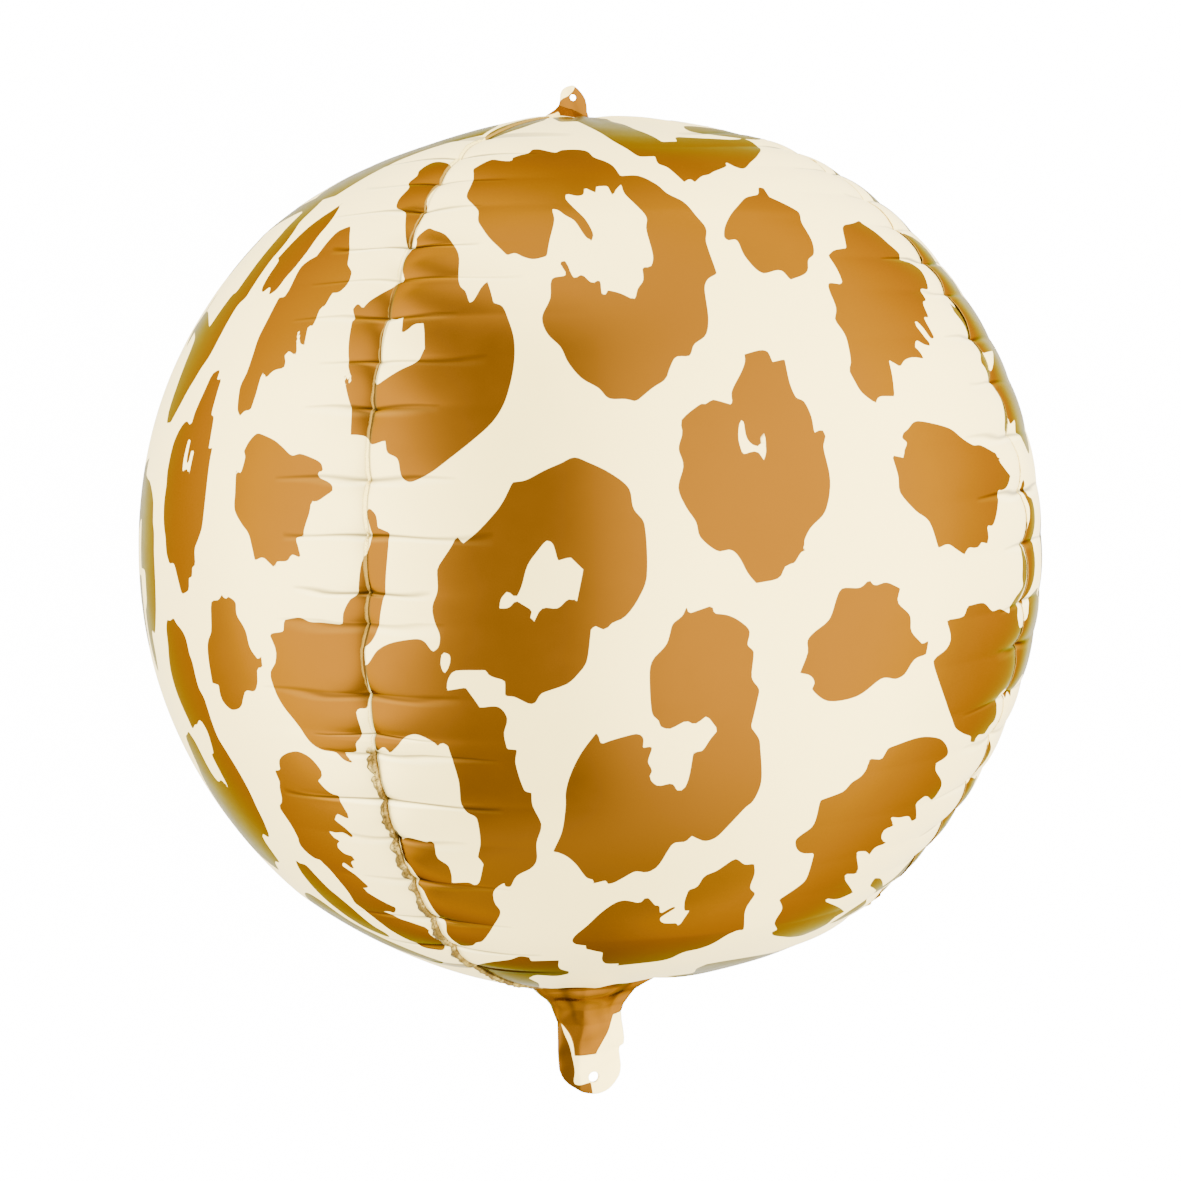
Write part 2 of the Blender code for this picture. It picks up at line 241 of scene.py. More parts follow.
        (-24.2, 9.75), (-23.2, 9), (-23, 7.7, 1), (-21.6, 7.2, 1), (-21.6, 5.6), (-21.7, 3.8),
        (-22.1, 0.75), (-23, -2.8), (-23.9, -4.4), (-25.2, -5.3), (-26.5, -6), (-27, 0), (-25.5, 0.6),
        (-24.8, 4.1), (-24.3, 4.9), (-23.9, 6.6), (-24.4, 9.1)]},
    {"name": "leftRing", "outline": [
        (-23.9, 43.2), (-22.9, 42.9), (-20.5, 42), (-18.2, 39.9), (-17.3, 38.4), (-16.8, 35.9),
        (-16.25, 34.7), (-15.4, 34), (-14.6, 32.6), (-14.1, 32.9), (-13.4, 34.5), (-12.75, 35.3, 1),
        (-12.1, 34), (-11.5, 32.5, 1), (-10.3, 32), (-9.5, 30.6), (-8.6, 28.4), (-8.3, 26.3), (-8.4, 24.1),
        (-8.9, 21.6), (-9.6, 19.9), (-10.7, 18.4), (-12.9, 16.5), (-15, 14.9), (-16.8, 13.6), (-18.4, 12.8),
        (-19.5, 12.5), (-20.5, 13.1), (-21, 14.9), (-22.3, 15.6), (-22.7, 16.9, 1), (-24.5, 16.5),
        (-25.2, 17.3), (-26.4, 17.5), (-27.2, 17.5, 1), (-27.7, 20.2), (-27.9, 20.6), (-28.9, 22.7),
        (-29.6, 24.1, 1), (-29.1, 24), (-28.4, 23.1, 1), (-28.4, 23.8), (-29.3, 25.2), (-30, 27.7),
        (-30.6, 30.6, 1), (-30.4, 31), (-31.1, 32.2), (-30.6, 32.8), (-30.1, 32.6), (-29.6, 32.25, 1),
        (-28.9, 33.1), (-27.5, 34.1), (-26.25, 35), (-25.7, 35.8), (-25, 36.1), (-25.7, 37.4),
        (-25.9, 39.1), (-25.5, 40.4), (-25.2, 41.3), (-25.5, 42), (-25, 42.5)], "holes": [
        [
            (-25.6, 30.9), (-24.3, 30.75, 1), (-23.4, 31, 1), (-23.1, 29.9), (-22.9, 28.9, 1),
            (-22.3, 29.1), (-21.4, 29.9), (-20.2, 30, 1), (-19.8, 28.8), (-19.4, 27, 1), (-20.2, 25.5),
            (-22.1, 24.6), (-24.7, 23.1, 1), (-25.2, 23.1), (-25.3, 26)]]},
    {"name": "lowerHook", "outline": [
        (9.8, -0.75), (10.1, -1.5, 1), (12.6, -0.75, 1), (12.8, -1.6, 1), (14.4, -1.9), (15.8, -2.7),
        (16.7, -3.7), (16.5, -5.1), (17.2, -5.9), (17.1, -8.7), (18, -10), (17.9, -11.2), (17.4, -14.25, 1),
        (18.5, -15.7), (18.8, -16.9), (19.4, -20.1), (19.4, -21.7), (18.8, -23.4), (18, -24.1),
        (16.1, -26.5), (14.9, -27.9), (13.6, -28.3), (12.6, -27.9), (11.7, -27.4, 1), (11.1, -28.2),
        (9.7, -28.3), (9, -29.4), (8.3, -31), (7.6, -32), (6.5, -32.5), (5.1, -32.3), (3.8, -33.1),
        (2.4, -34), (1.6, -34.2, 1), (1.3, -33.6, 1), (-0.4, -34.1, 1), (-0.3, -33.5), (-1.2, -33.1),
        (-2.4, -31.1), (-3.5, -29.9), (-4.6, -29.3), (-5.2, -29.2, 1), (-3.9, -26.3), (-3.3, -22.9),
        (-3.2, -21.1), (-2.6, -19), (-1.4, -16.5), (0.25, -14.2), (0.5, -14), (0.8, -15.4, 1), (2.2, -14.9),
        (4.7, -14.3), (5.4, -14.8), (5.4, -16, 1), (6.4, -15.9), (6, -17.6), (6.5, -18.7), (6.25, -19.6),
        (7.2, -20.6), (8.8, -20.4), (9.5, -21.3), (10.25, -21.1), (10.7, -19.7), (11, -16.7, 1),
        (12, -16.6), (12.75, -15.4), (13.6, -14.3, 1), (12.3, -12.6, 1), (11, -13.5), (10, -13.1),
        (8.3, -13.9), (7.3, -13.6), (7, -12.9), (6.3, -12.1), (6, -8.7), (6.2, -6.4), (7.75, -4.6),
        (8.4, -2.5), (9.4, -1.75)]},
    {"name": "rightIsland", "outline": [
        (27.6, 0.2), (29.9, 0.1), (31.1, 0.9, 1), (31.9, 0.2), (33.5, 0.4), (35.5, -0.4, 1), (35.2, -1.9),
        (37.1, -3.5), (37.5, -5.3), (39.4, -6.9, 1), (40.4, -6.6, 1), (40.2, -8.2, 1), (38.7, -8.4),
        (38, -8.9), (37.1, -10.1), (35.8, -10.5), (33.7, -10.2), (30.5, -11.9), (26.6, -12.1),
        (24.4, -10.6), (24.6, -9.8), (24, -9), (22.7, -8.6, 1), (23.5, -6.4), (23.4, -5.1), (24.2, -4.25),
        (26, -3), (26.9, -0.7)]},
    {"name": "tornSpotLower", "outline": [
        (36.6, -18.75, 1), (40.3, -18.2), (42.8, -18.2), (46, -18.9), (48.1, -20.1), (49.4, -21.4),
        (48.9, -21.9), (47.1, -22.3, 1), (47.8, -23.4), (50.3, -25.1), (51.25, -26.3), (51, -27.9),
        (50.3, -27.9), (48, -26.9), (46.4, -27.6, 1), (47.4, -28.8), (48.6, -30.25, 1), (47.6, -30.4),
        (46, -29.4), (43.9, -29.2), (41.7, -28.7, 1), (43.5, -30.3, 1), (41.7, -30.6), (42.1, -31.9),
        (44.4, -33.2, 1), (41.9, -33.3), (41.6, -34.5, 1), (40.1, -33.6), (38.1, -33.2, 1), (39.2, -34.7),
        (40.8, -36.5), (41.25, -37.5, 1), (38.3, -36.9, 1), (39.6, -38.3), (44.6, -41.7, 1), (41.4, -42.2),
        (38, -41.3, 1), (38.3, -41.9), (43.9, -44.5), (49, -47, 1), (47.1, -47.6), (47.4, -49.4),
        (46, -50.8), (43.5, -51.3), (40.3, -50.8), (36.7, -49.7), (32.8, -48.3), (31.3, -47.2, 1),
        (32.1, -46.7, 1), (30.1, -44.9), (29.6, -43.6), (29.4, -41.5), (27.7, -39.4, 1), (30.5, -36.9),
        (30.6, -35.4), (29.9, -32, 1), (28, -31.7), (26.7, -30.8), (26.1, -29.5), (26.7, -28.8),
        (28.1, -27.6), (28, -24.25, 1), (31.2, -23.5), (32.1, -22.5), (33.3, -21.9), (33.9, -21),
        (33.9, -19.7, 1), (36, -20.1, 1)]},
    {"name": "lowSpot", "outline": [
        (17.9, -31.3), (18.6, -31.5), (19.7, -32.3), (21, -32.3, 1), (21.6, -34), (21.7, -36.3),
        (23, -37.5, 1), (22.6, -40.6), (24.3, -44.8, 1), (24.4, -45.2), (23.3, -45.1), (21.9, -46),
        (20.4, -47.9), (18.6, -49), (15.8, -49.7), (14, -51.3), (11.9, -51.9), (3.8, -52.6, 1),
        (4.2, -51.9, 1), (1.7, -51.7), (0.9, -50.4), (1, -48.3, 1), (-1.8, -47.2, 1), (-1.8, -46.3, 1),
        (-3.3, -46), (-3.9, -45.1), (-3.3, -43.8), (-1.4, -41.7), (0.6, -39.2), (2.6, -37.4), (4, -37),
        (6.1, -37.6, 1), (7, -36.6), (8.3, -38.1), (8.9, -38.2), (9.2, -39.8, 1), (10.8, -38.6),
        (11.3, -38.5), (11.4, -38.75), (9.5, -40.4), (9.4, -41), (10.1, -41.7), (12.1, -41.9, 1),
        (12.7, -42.9, 1), (12.9, -41.5), (13.5, -39.5, 1), (12.75, -39.4), (12.4, -37.6), (12.6, -35.7, 1),
        (13.7, -35.25), (14.4, -33.6), (15.9, -32.9)]},
    {"name": "seamSpotRight", "outline": [
        (43.3, -4.6, 1), (46.5, -4.5), (47.1, -3.4, 1), (50.6, -3.4), (53.1, -4.6), (55.3, -4.6),
        (57.9, -5.4, 1), (59.7, -3.8), (61.8, -2.7), (61.2, -1.4), (61.7, 0.6), (62.4, 3), (63.6, 0.5),
        (63.2, -2.5), (62.1, -4.3), (60.7, -6.1, 1), (62, -7.6), (67, -7.8), (67, -11), (66.5, -15.5),
        (63.3, -15.7, 1), (61.7, -15.1), (59.9, -15.9), (60.6, -18.6), (59.2, -19.4), (58.7, -20.4, 1),
        (56, -20.1), (56.4, -21.1, 1), (54.6, -20.7), (53.9, -19.9), (51.4, -19.1), (48.9, -18),
        (47.4, -16.5), (46, -15.1), (43.9, -12.6), (42.25, -10.3), (41.6, -9.1), (41.9, -8.7), (43.7, -7.9),
        (44.3, -6.75)]},
    {"name": "seamRingRight", "outline": [
        (60.4, 30.9, 1), (61.2, 32.2, 1), (62.6, 31.6), (64, 33.5), (66.5, 36), (67, 24), (66.5, 14),
        (65, 14.2), (63.4, 15.3, 1), (61.8, 16, 1), (63.4, 19.5), (63.1, 21.6), (61.9, 23.3),
        (60.6, 24.2, 1), (62.4, 25.7), (62.4, 28.3), (60.9, 30.2)]},
    {"name": "seamSpotTop", "outline": [
        (62.8, 56.2), (66.5, 56.9), (68, 53), (67, 50), (65, 49.5), (63.8, 52), (62.9, 54)]},
    {"name": "crownSpot", "outline": [
        (-20.5, 81.3), (-8.9, 71.4, 1), (-2.1, 71.8, 1), (0.3, 69.8), (5, 64.6), (7.8, 60.4), (10.1, 58.1),
        (11.5, 56.3), (12.4, 55.9), (15.5, 56, 1), (15.1, 54.3), (16.5, 53.4), (18, 50.3, 1), (19.4, 50.9),
        (20, 50.3, 1), (22.2, 51.5), (24, 51.9), (25.4, 52.5), (29.7, 53.9), (30.5, 54.9, 1), (31.9, 53.6),
        (33, 53.4), (34.2, 53.8), (36.7, 54.9), (39.9, 56.1), (43.1, 57.4), (46, 58.6), (48.1, 59.9),
        (49.1, 62.1), (43, 61.6), (33, 61.8), (27.5, 62), (25.4, 60.4, 1), (21, 60.2, 1), (20.6, 63.5),
        (19, 68), (22, 76), (30, 84), (0, 86)]},
    # painted shade: the next three are the dark shade and dark reflection in the folds beside the right weld,
    # drawn in the print's brown
    {"name": "finShadeLow", "settled": True, "outline": [
        (66, -39.9, 1), (60.5, -40.2), (57.5, -42.1), (53.8, -43.4, 1), (55, -44.3), (60, -43), (66, -42.8)]},
    {"name": "finShadeHook", "settled": True, "outline": [
        (48.2, -39.8, 1), (50.6, -40.4), (53, -41.6), (58, -44.4, 1), (54, -43.4), (51, -42.2),
        (48.7, -41.2)]},
    {"name": "finShadeEdge", "settled": True, "outline": [
        (55, -45.6, 1), (51, -46.8), (48.4, -49.2, 1), (51.5, -49.4), (57, -47.5)]},
    {"name": "crownPatchLeft", "settled": True, "outline": [
        (-25.9, 63.1, 1), (-29, 65.2), (-31, 72), (-28, 80), (-22, 79), (-16.2, 73.4, 1), (-19, 68.4),
        (-21.8, 66.1)]},
    {"name": "crownPatchRight", "outline": [
        (43, 69.5), (56, 68), (62, 65), (55, 62.6), (47, 62.4), (40, 64), (37.2, 66)]},
    {"name": "neckStripLeft", "outline": [
        (-23.4, -53.6), (-20, -51.9), (-15.7, -50.6), (-13.6, -49.5), (-12, -49.7, 1), (-12, -50.8, 1),
        (-6.8, -50.4, 1), (-7.3, -52.2), (-7.1, -53.5), (-5.7, -54.4, 1), (-6.1, -55.4), (-8.9, -56.6),
        (-13, -56.6), (-15.5, -58.5, 1), (-15, -62), (-20, -68), (-34, -66), (-28, -58)]},
    {"name": "neckStripRight", "settled": True, "outline": [
        (25.5, -57.3, 1), (31.1, -56.7), (40, -57), (47, -58), (56, -60), (52, -70), (38, -76), (34, -69),
        (26.5, -61.5, 1), (25.2, -59.6)]},
]
leftPrint = [
    {"name": "hookTail", "outline": [
        (-24.6, -4.9), (-25.2, -11.7), (-26.25, -11.9), (-26.6, -12.3), (-26.5, -14.1), (-26.7, -15.3),
        (-27.4, -16), (-27.7, -17.1), (-29.3, -17.3, 1), (-28.3, -18.6, 1), (-29.6, -18.2), (-30.5, -17.4),
        (-32.5, -17.2), (-33.9, -16.4), (-35.5, -14.1), (-37, -12.3), (-37.9, -10.5), (-38.1, -8.7),
        (-37.1, -7.5), (-36.8, -6), (-37.6, -4.25, 1), (-35.4, -3.9, 1), (-35.2, -2.6, 1), (-32.9, -2.2),
        (-31.6, -2.6), (-30, -2.6), (-27.9, -2.7), (-27.4, -2.6), (-27.1, -1.4), (-26.25, 0), (-25.5, 0.6),
        (-24.8, 4.1), (-24.3, 4.9), (-23.5, 6), (-23, 0)]},
    {"name": "tornSpotUpper", "outline": [
        (-39.7, 44.35, 1), (-39.1, 43.7), (-37.6, 41.8), (-36.1, 39.8), (-35.3, 38.3), (-34.5, 37.7),
        (-33.8, 37), (-33.7, 35.4, 1), (-34.5, 34.5), (-35.7, 34.4, 1), (-36.1, 32.7), (-36.7, 32.5),
        (-36.8, 30.2, 1), (-37.6, 30.2), (-37.5, 29.5), (-37.1, 27.8, 1), (-38, 28.1), (-38.8, 29.5),
        (-39.2, 29.6, 1), (-38.8, 28.5), (-38.1, 27.1), (-38.2, 26.6, 1), (-39.5, 27.1), (-40, 26.6, 1),
        (-39.5, 25.8), (-39.4, 25.1, 1), (-41.1, 24.8), (-42.1, 23.9, 1), (-43.1, 24.5), (-43.1, 22.1),
        (-43.3, 20.2, 1), (-44.5, 20), (-45, 19.4, 1), (-45.9, 20.2), (-46.5, 21.8), (-46.8, 23.1),
        (-46.4, 24.5), (-46.5, 26.8), (-46.8, 28.9), (-46.6, 31.4), (-46.5, 34.3, 1), (-45.3, 34.2, 1),
        (-45.1, 35.2), (-45.4, 38.3), (-44.5, 39.3), (-43.2, 39.9, 1), (-42.8, 41.8), (-42, 43.5),
        (-40.7, 44.1)]},
    {"name": "leafSpot", "outline": [
        (-47.1, 49.6, 1), (-47.6, 48.4), (-47.1, 48), (-46.3, 46.6), (-45.9, 45), (-46.2, 43.3),
        (-46.3, 40.6), (-46.9, 38.3), (-47.6, 37.1), (-48.2, 35.4), (-49.5, 34.6, 1), (-50.1, 35.6),
        (-50.7, 35.7), (-51.6, 35.1), (-52.6, 35.8), (-52.9, 37.5), (-52.9, 39.6), (-53.8, 40.1, 1),
        (-53, 42), (-51.8, 44.3), (-49.9, 46.6), (-48.4, 47.9)]},
    {"name": "sideRing", "outline": [
        (-59.5, 52), (-58, 50.2), (-57, 48.7), (-56.5, 46), (-55.5, 44.5), (-55.1, 42.1), (-55.7, 39.8),
        (-55.9, 34.5, 1), (-57.2, 33.3), (-57.6, 29.1), (-58, 26.8), (-59.1, 25.2), (-59.9, 23.8, 1),
        (-61.1, 22.1), (-62, 20.6), (-63.8, 18.4, 1), (-65.7, 18.3, 1), (-66.5, 19.8), (-66.8, 23.3),
        (-67.6, 27.2), (-68.8, 29.1), (-73, 30.5), (-73, 32.5), (-70.7, 32.9), (-67.6, 32.1),
        (-63.8, 30.6, 1), (-62.8, 33.3), (-62, 35.1, 1), (-60.9, 35.6), (-60.5, 40.6), (-60.2, 44.5),
        (-61.1, 47.9), (-62.6, 48.3), (-68, 47.1), (-73, 46), (-73, 49.5), (-66.5, 51), (-62, 52.6)]},
    {"name": "crownEdge", "settled": True, "outline": [
        (-30.6, 65.7, 1), (-39.4, 62.1), (-47.3, 58.8), (-50, 56.4), (-53.9, 50.8, 1), (-60, 50.5),
        (-68, 53), (-72, 62), (-60, 70), (-44, 74), (-34, 71)]},
    {"name": "splitSpot", "outline": [
        (-56.1, 19.8), (-55.3, 22.5), (-54.9, 24.3), (-54.1, 24.8), (-53.1, 24.9), (-52.9, 23.7, 1),
        (-51.8, 23.9, 1), (-51.6, 21.4), (-51.4, 19.6), (-50.7, 19.3), (-50.3, 17.5), (-50.1, 15.6, 1),
        (-49.3, 15.8, 1), (-49.3, 14.2), (-49.1, 11.1), (-49.1, 8.8), (-49.3, 6.7), (-50.1, 5.2),
        (-50.7, 4.2), (-50.5, 2.5, 1), (-51.2, 2.1), (-51.3, 1.1), (-52, 0.9), (-52.2, -0.4), (-53.2, -0.9),
        (-54.1, -1.1, 1), (-54.7, 0), (-55.3, 1.1), (-56.1, 2.2), (-57.4, 2.1, 1), (-58.4, 3.3), (-58.9, 5),
        (-59.7, 6.5), (-60.3, 8.8), (-60.3, 11.1), (-60.7, 12.7), (-60.5, 16.1), (-59.1, 18.1),
        (-57.8, 18.7), (-56.3, 18.3)], "holes": [
        [
            (-55.9, 16.5, 1), (-55.2, 16.5, 1), (-55.1, 14), (-54.5, 13.8), (-54.3, 15.2), (-53.6, 15.2, 1),
            (-53.8, 12.2, 1), (-54.5, 13.1), (-55.7, 12.8, 1), (-56, 14.2)]]},
    {"name": "clawSpot", "outline": [
        (-41.3, 17.5), (-40.1, 17.4), (-38, 16.8), (-36.6, 16.1), (-35, 15.2), (-33.8, 15.4), (-31.8, 14.9),
        (-30.7, 14.4), (-30.3, 13.5, 1), (-31, 13.5), (-30.8, 12.9), (-29.7, 12.5), (-29, 12.1),
        (-28.8, 11.5), (-29.5, 11), (-30.7, 10.3), (-31.5, 10.4, 1), (-31.6, 9.2), (-32, 8.1), (-32.4, 6.9),
        (-32.2, 6.5, 1), (-33.3, 6.3), (-33, 5.4), (-32.5, 4.1, 1), (-33.8, 4.5), (-34.5, 3.8),
        (-36.1, 3.7, 1), (-36.3, 2.9, 1), (-37.2, 3.5), (-38.2, 4), (-39.4, 3.6, 1), (-39.9, 5),
        (-40.6, 6.5), (-41.8, 7.5), (-43.2, 9), (-43.4, 10.8), (-43.8, 13.5, 1), (-42.9, 13.1),
        (-42.5, 14.8), (-42.9, 15.5, 1), (-42.4, 16.5)]},
    {"name": "leftIsland", "outline": [
        (-47.2, -1.3), (-45.9, -1.1), (-45.3, -0.4, 1), (-44.6, -0.9), (-44, -0.6), (-42.7, -1.1, 1),
        (-42.7, -2.5), (-41.8, -3.6), (-41.3, -4.4), (-40.9, -6.1), (-39.8, -7.3, 1), (-39.2, -6.9, 1),
        (-39.2, -8.2, 1), (-40.1, -8.4), (-40.5, -10), (-41.3, -11.1), (-42.8, -11.2), (-43.6, -12.1),
        (-44.5, -13.3), (-46.5, -13.9), (-47.8, -13.3), (-48.3, -12.5), (-48.2, -11.1, 1), (-49.5, -11, 1),
        (-49.3, -7.7), (-48.9, -6.1), (-47.9, -4.8), (-47.5, -1.9)]},
    {"name": "sideHook", "outline": [
        (-59.3, -4.6), (-58.4, -4.6), (-57, -4.1, 1), (-56.3, -4.7), (-54.9, -5.4), (-54.1, -6.3),
        (-53.8, -8.1, 1), (-53.4, -9), (-53.2, -11.9), (-52.4, -13.3), (-52.2, -16.5), (-52, -18.1),
        (-51.1, -19.8), (-50.1, -22.1), (-49.6, -24.8), (-49.9, -27.5), (-50.2, -29.4), (-51.1, -31.5),
        (-52, -32.1), (-53, -31.8, 1), (-54.1, -32.5), (-54.5, -34), (-54.9, -36.7), (-56.8, -37.1),
        (-58, -37.8), (-59.5, -39.2), (-61.5, -39), (-64.1, -38.6), (-66.5, -38.2), (-68.8, -37),
        (-69.2, -33.2), (-69.2, -29.4), (-67.6, -25.9), (-66.1, -24), (-64.9, -20.1), (-63.4, -19.4),
        (-62, -18.8), (-61.3, -19.2), (-60.5, -20.3), (-59.9, -24), (-58.8, -25.1), (-57.2, -24.6),
        (-56, -25.5, 1), (-55.9, -24.4), (-56.3, -20.9, 1), (-55.3, -20.5), (-54.6, -18), (-55.1, -16.7),
        (-55.9, -16.4), (-57, -17.1, 1), (-58, -17.3), (-59.5, -18), (-59.9, -16.9), (-61.1, -13.8),
        (-61.3, -10.8), (-60.3, -7.7), (-60, -5.8)]},
    {"name": "farRing", "outline": [
        (-73, 11.3), (-69.9, 11.3), (-68.4, 11.1), (-66.5, 10.2), (-64.9, 8.8), (-64.2, 6.5), (-63.4, 5.2),
        (-63.2, 3.1), (-62.8, 0), (-63.2, -3.1), (-64.3, -5.4), (-65.7, -6.9), (-67.4, -6.9), (-67.6, -9.6),
        (-68.8, -12.1), (-70.1, -10.8), (-70.6, -8.1), (-70.3, -4.6), (-69.5, -4.2), (-68.6, -3.1),
        (-68.4, -0.8), (-68.8, 0.4), (-73, 1.2)]},
    {"name": "combSpot", "outline": [
        (-40.1, -19.4), (-39.1, -18.6), (-37.6, -18), (-36.1, -17.8), (-34.5, -18.4), (-33.4, -19.8),
        (-33.6, -20.7), (-34.4, -21.2, 1), (-33.8, -22.1), (-33, -22.8), (-32.1, -23, 1), (-31.8, -24.2),
        (-31.4, -25.5), (-31.7, -26), (-33.2, -25.5, 1), (-34, -26.5, 1), (-32.8, -27.5), (-32.2, -28.6),
        (-32.6, -28.9), (-33.6, -28.3), (-34.9, -28.5), (-36.1, -28.4, 1), (-35.5, -29.3),
        (-34.7, -29.6, 1), (-35.7, -30.5), (-35.1, -31.5), (-33.8, -31.8), (-33.7, -32.4), (-34.6, -32.8),
        (-34.7, -33.9, 1), (-35.3, -33.9), (-36.1, -33.2), (-36.9, -33.7, 1), (-35.3, -35.1),
        (-34, -36.7, 1), (-34.1, -37), (-35.5, -37.3, 1), (-34.5, -38.2), (-32.6, -39.4), (-31.2, -40.1, 1),
        (-31.6, -40.8), (-32.5, -41.6, 1), (-33.4, -41.4), (-34.5, -41.6, 1), (-32.6, -42.5),
        (-30.3, -43.2), (-28.2, -43.9, 1), (-27.6, -44.4), (-28.1, -44.8), (-28, -45.9), (-27, -47.5),
        (-27.6, -48.2), (-28, -49.4), (-29, -50), (-30.7, -50), (-32.6, -49.8), (-34.5, -48.4),
        (-36.5, -46.3), (-37.6, -44.4), (-39.5, -41.5), (-39.9, -40.9), (-39.4, -38.6), (-40.1, -35.5),
        (-41.1, -33.6, 1), (-42.2, -33.5), (-43.2, -32.8), (-43.8, -31.7), (-43.3, -30.5), (-43.3, -28.6),
        (-44, -26.1, 1), (-42.6, -25), (-42, -23.2), (-41.5, -22.3), (-41.6, -20.8, 1), (-40.5, -20.7, 1)]},
    {"name": "lowLeaf", "outline": [
        (-48, -35), (-47.2, -35.3), (-45.7, -35.4), (-44.9, -37.1), (-44.1, -39), (-43, -40.5),
        (-42, -42.5), (-40.5, -45.9), (-39.1, -47.5), (-39.9, -48.6), (-42.2, -48.2), (-45.3, -46.7),
        (-48.4, -42.8), (-49.1, -40.1), (-49, -37.1)]},
    {"name": "lowSide", "outline": [
        (-60, -46), (-57.5, -43.4), (-54.2, -42.3), (-51.5, -43), (-49.6, -44.6), (-47.6, -46.8),
        (-44, -49), (-38, -51.6), (-33, -54.5), (-36, -56), (-44, -54), (-52, -52), (-58, -50)]},
    {"name": "seamSpotUpper", "outline": [
        (-33.6, 56.1), (-32.3, 56.7), (-30, 56.5), (-28.2, 55.9), (-27, 54.7), (-27.1, 48.4), (-25.9, 46.1),
        (-26.25, 43.4), (-25.7, 40.6), (-26.6, 40.9), (-27.9, 43.1), (-29.6, 45.9), (-30.7, 46.6),
        (-32.3, 47.1), (-32.9, 48.6), (-32.7, 50.75), (-34.1, 52), (-33.4, 53.4), (-34.1, 54.5)]},
]
sharedWithLeft = ["leftRing", "crownPatchLeft"]  # spots that cross the seam are shown on both gores
rightPrint = [
    # painted shade: the next four are the dark shade in the folds and slits beside the weld, drawn in the
    # print's brown
    {"name": "foldShadeLens", "settled": True, "outline": [
        (-25.8, -34.3, 1), (-20, -33.4), (-16.5, -34.5), (-17.5, -37), (-20.5, -39.6), (-26, -40.4, 1),
        (-24, -37.6)]},
    {"name": "foldShadeFin", "settled": True, "outline": [
        (-27, -40.4, 1), (-21, -40.8), (-21, -43.5), (-27, -43.2)]},
    {"name": "seamShadeUpper", "settled": True, "outline": [
        (-26, -21.8, 1), (-23.4, -24), (-24, -26), (-26.2, -27.6, 1)]},
    {"name": "seamShadeLower", "settled": True, "outline": [
        (-26, -28.2, 1), (-22.6, -30), (-23.4, -32), (-26.2, -33.4, 1)]},
    {"name": "ringFill", "outline": [
        (-26.5, 34, 1), (-16, 36, 1), (-12, 26, 1), (-17, 25, 1), (-19, 25.6), (-26.5, 25.4, 1)]},
]
settling = {  # degrees by which the film's flatter ends carry the print, on a seam and midway between seams
    "latitude": (-62, -58, -54, -50, -46, -40, 46, 50, 54, 58, 62),
    "onSeam": (1.2, 1.2, 0.9, 0.6, 0.4, 0.1, -0.2, -0.3, -0.4, -0.3, -0.1),
    "midway": (-4.0, -3.0, -1.2, -0.2, 0.3, 0.1, -0.1, 0.15, 0.75, 1.7, 3.0),
}


def settle(marks):
    moved = []
    for mark in marks:
        turn = 2 * math.pi * (mark[0] - body["firstSeam"]) / body["goreAngle"]
        midway = (1 - math.cos(turn)) / 2
        onSeam = np.interp(mark[1], settling["latitude"], settling["onSeam"])
        between = np.interp(mark[1], settling["latitude"], settling["midway"])
        shift = midway * between + (1 - midway) * onSeam
        moved.append((mark[0], mark[1] + float(shift), *mark[2:]))
    return moved


def smoothOutline(marks, steps=4):
    # a closed curve through the marks that keeps the sharp corners
    marks = [(*mark[:2], len(mark) > 2) for mark in marks]
    count = len(marks)
    curve = []
    for index, (x, y, sharp) in enumerate(marks):
        before, after, beyond = marks[index - 1], marks[(index + 1) % count], marks[(index + 2) % count]
        chord = (after[0] - x, after[1] - y)
        leave = chord if sharp else ((after[0] - before[0]) / 2, (after[1] - before[1]) / 2)
        arrive = chord if after[2] else ((beyond[0] - x) / 2, (beyond[1] - y) / 2)
        limit = math.hypot(*chord)
        leave = [part * min(1, limit / (math.hypot(*leave) + 1e-9)) for part in leave]
        arrive = [part * min(1, limit / (math.hypot(*arrive) + 1e-9)) for part in arrive]
        for step in range(steps):
            t = step / steps
            a, b = 2 * t**3 - 3 * t**2 + 1, t**3 - 2 * t**2 + t
            c, d = -2 * t**3 + 3 * t**2, t**3 - t**2
            curve.append((a * x + b * leave[0] + c * after[0] + d * arrive[0],
                          a * y + b * leave[1] + c * after[1] + d * arrive[1]))
    return np.array(curve)


def insideDistance(x, y, curve):
    # distance to a closed curve, positive inside it
    ends = np.roll(curve, -1, 0)
    best = np.full(len(x), 1e9)
    inside = np.zeros(len(x), bool)
    for (ax, ay), (bx, by) in zip(curve, ends):
        dx, dy = bx - ax, by - ay
        t = np.clip(((x - ax) * dx + (y - ay) * dy) / (dx * dx + dy * dy + 1e-12), 0, 1)
        best = np.minimum(best, (x - ax - t * dx) ** 2 + (y - ay - t * dy) ** 2)
        if ay != by:
            inside ^= ((ay > y) != (by > y)) & (x < ax + (y - ay) * dx / dy)
    return np.where(inside, 1, -1) * np.sqrt(best)


def insideOutline(co, outline):
    return insideDistance(co[:, 0], co[:, 1], smoothOutline(outline))


printEdge = {
    "reach": 3.0,  # millimetres to each side of a spot's edge
    "mmPerDegree": 3.49,
}


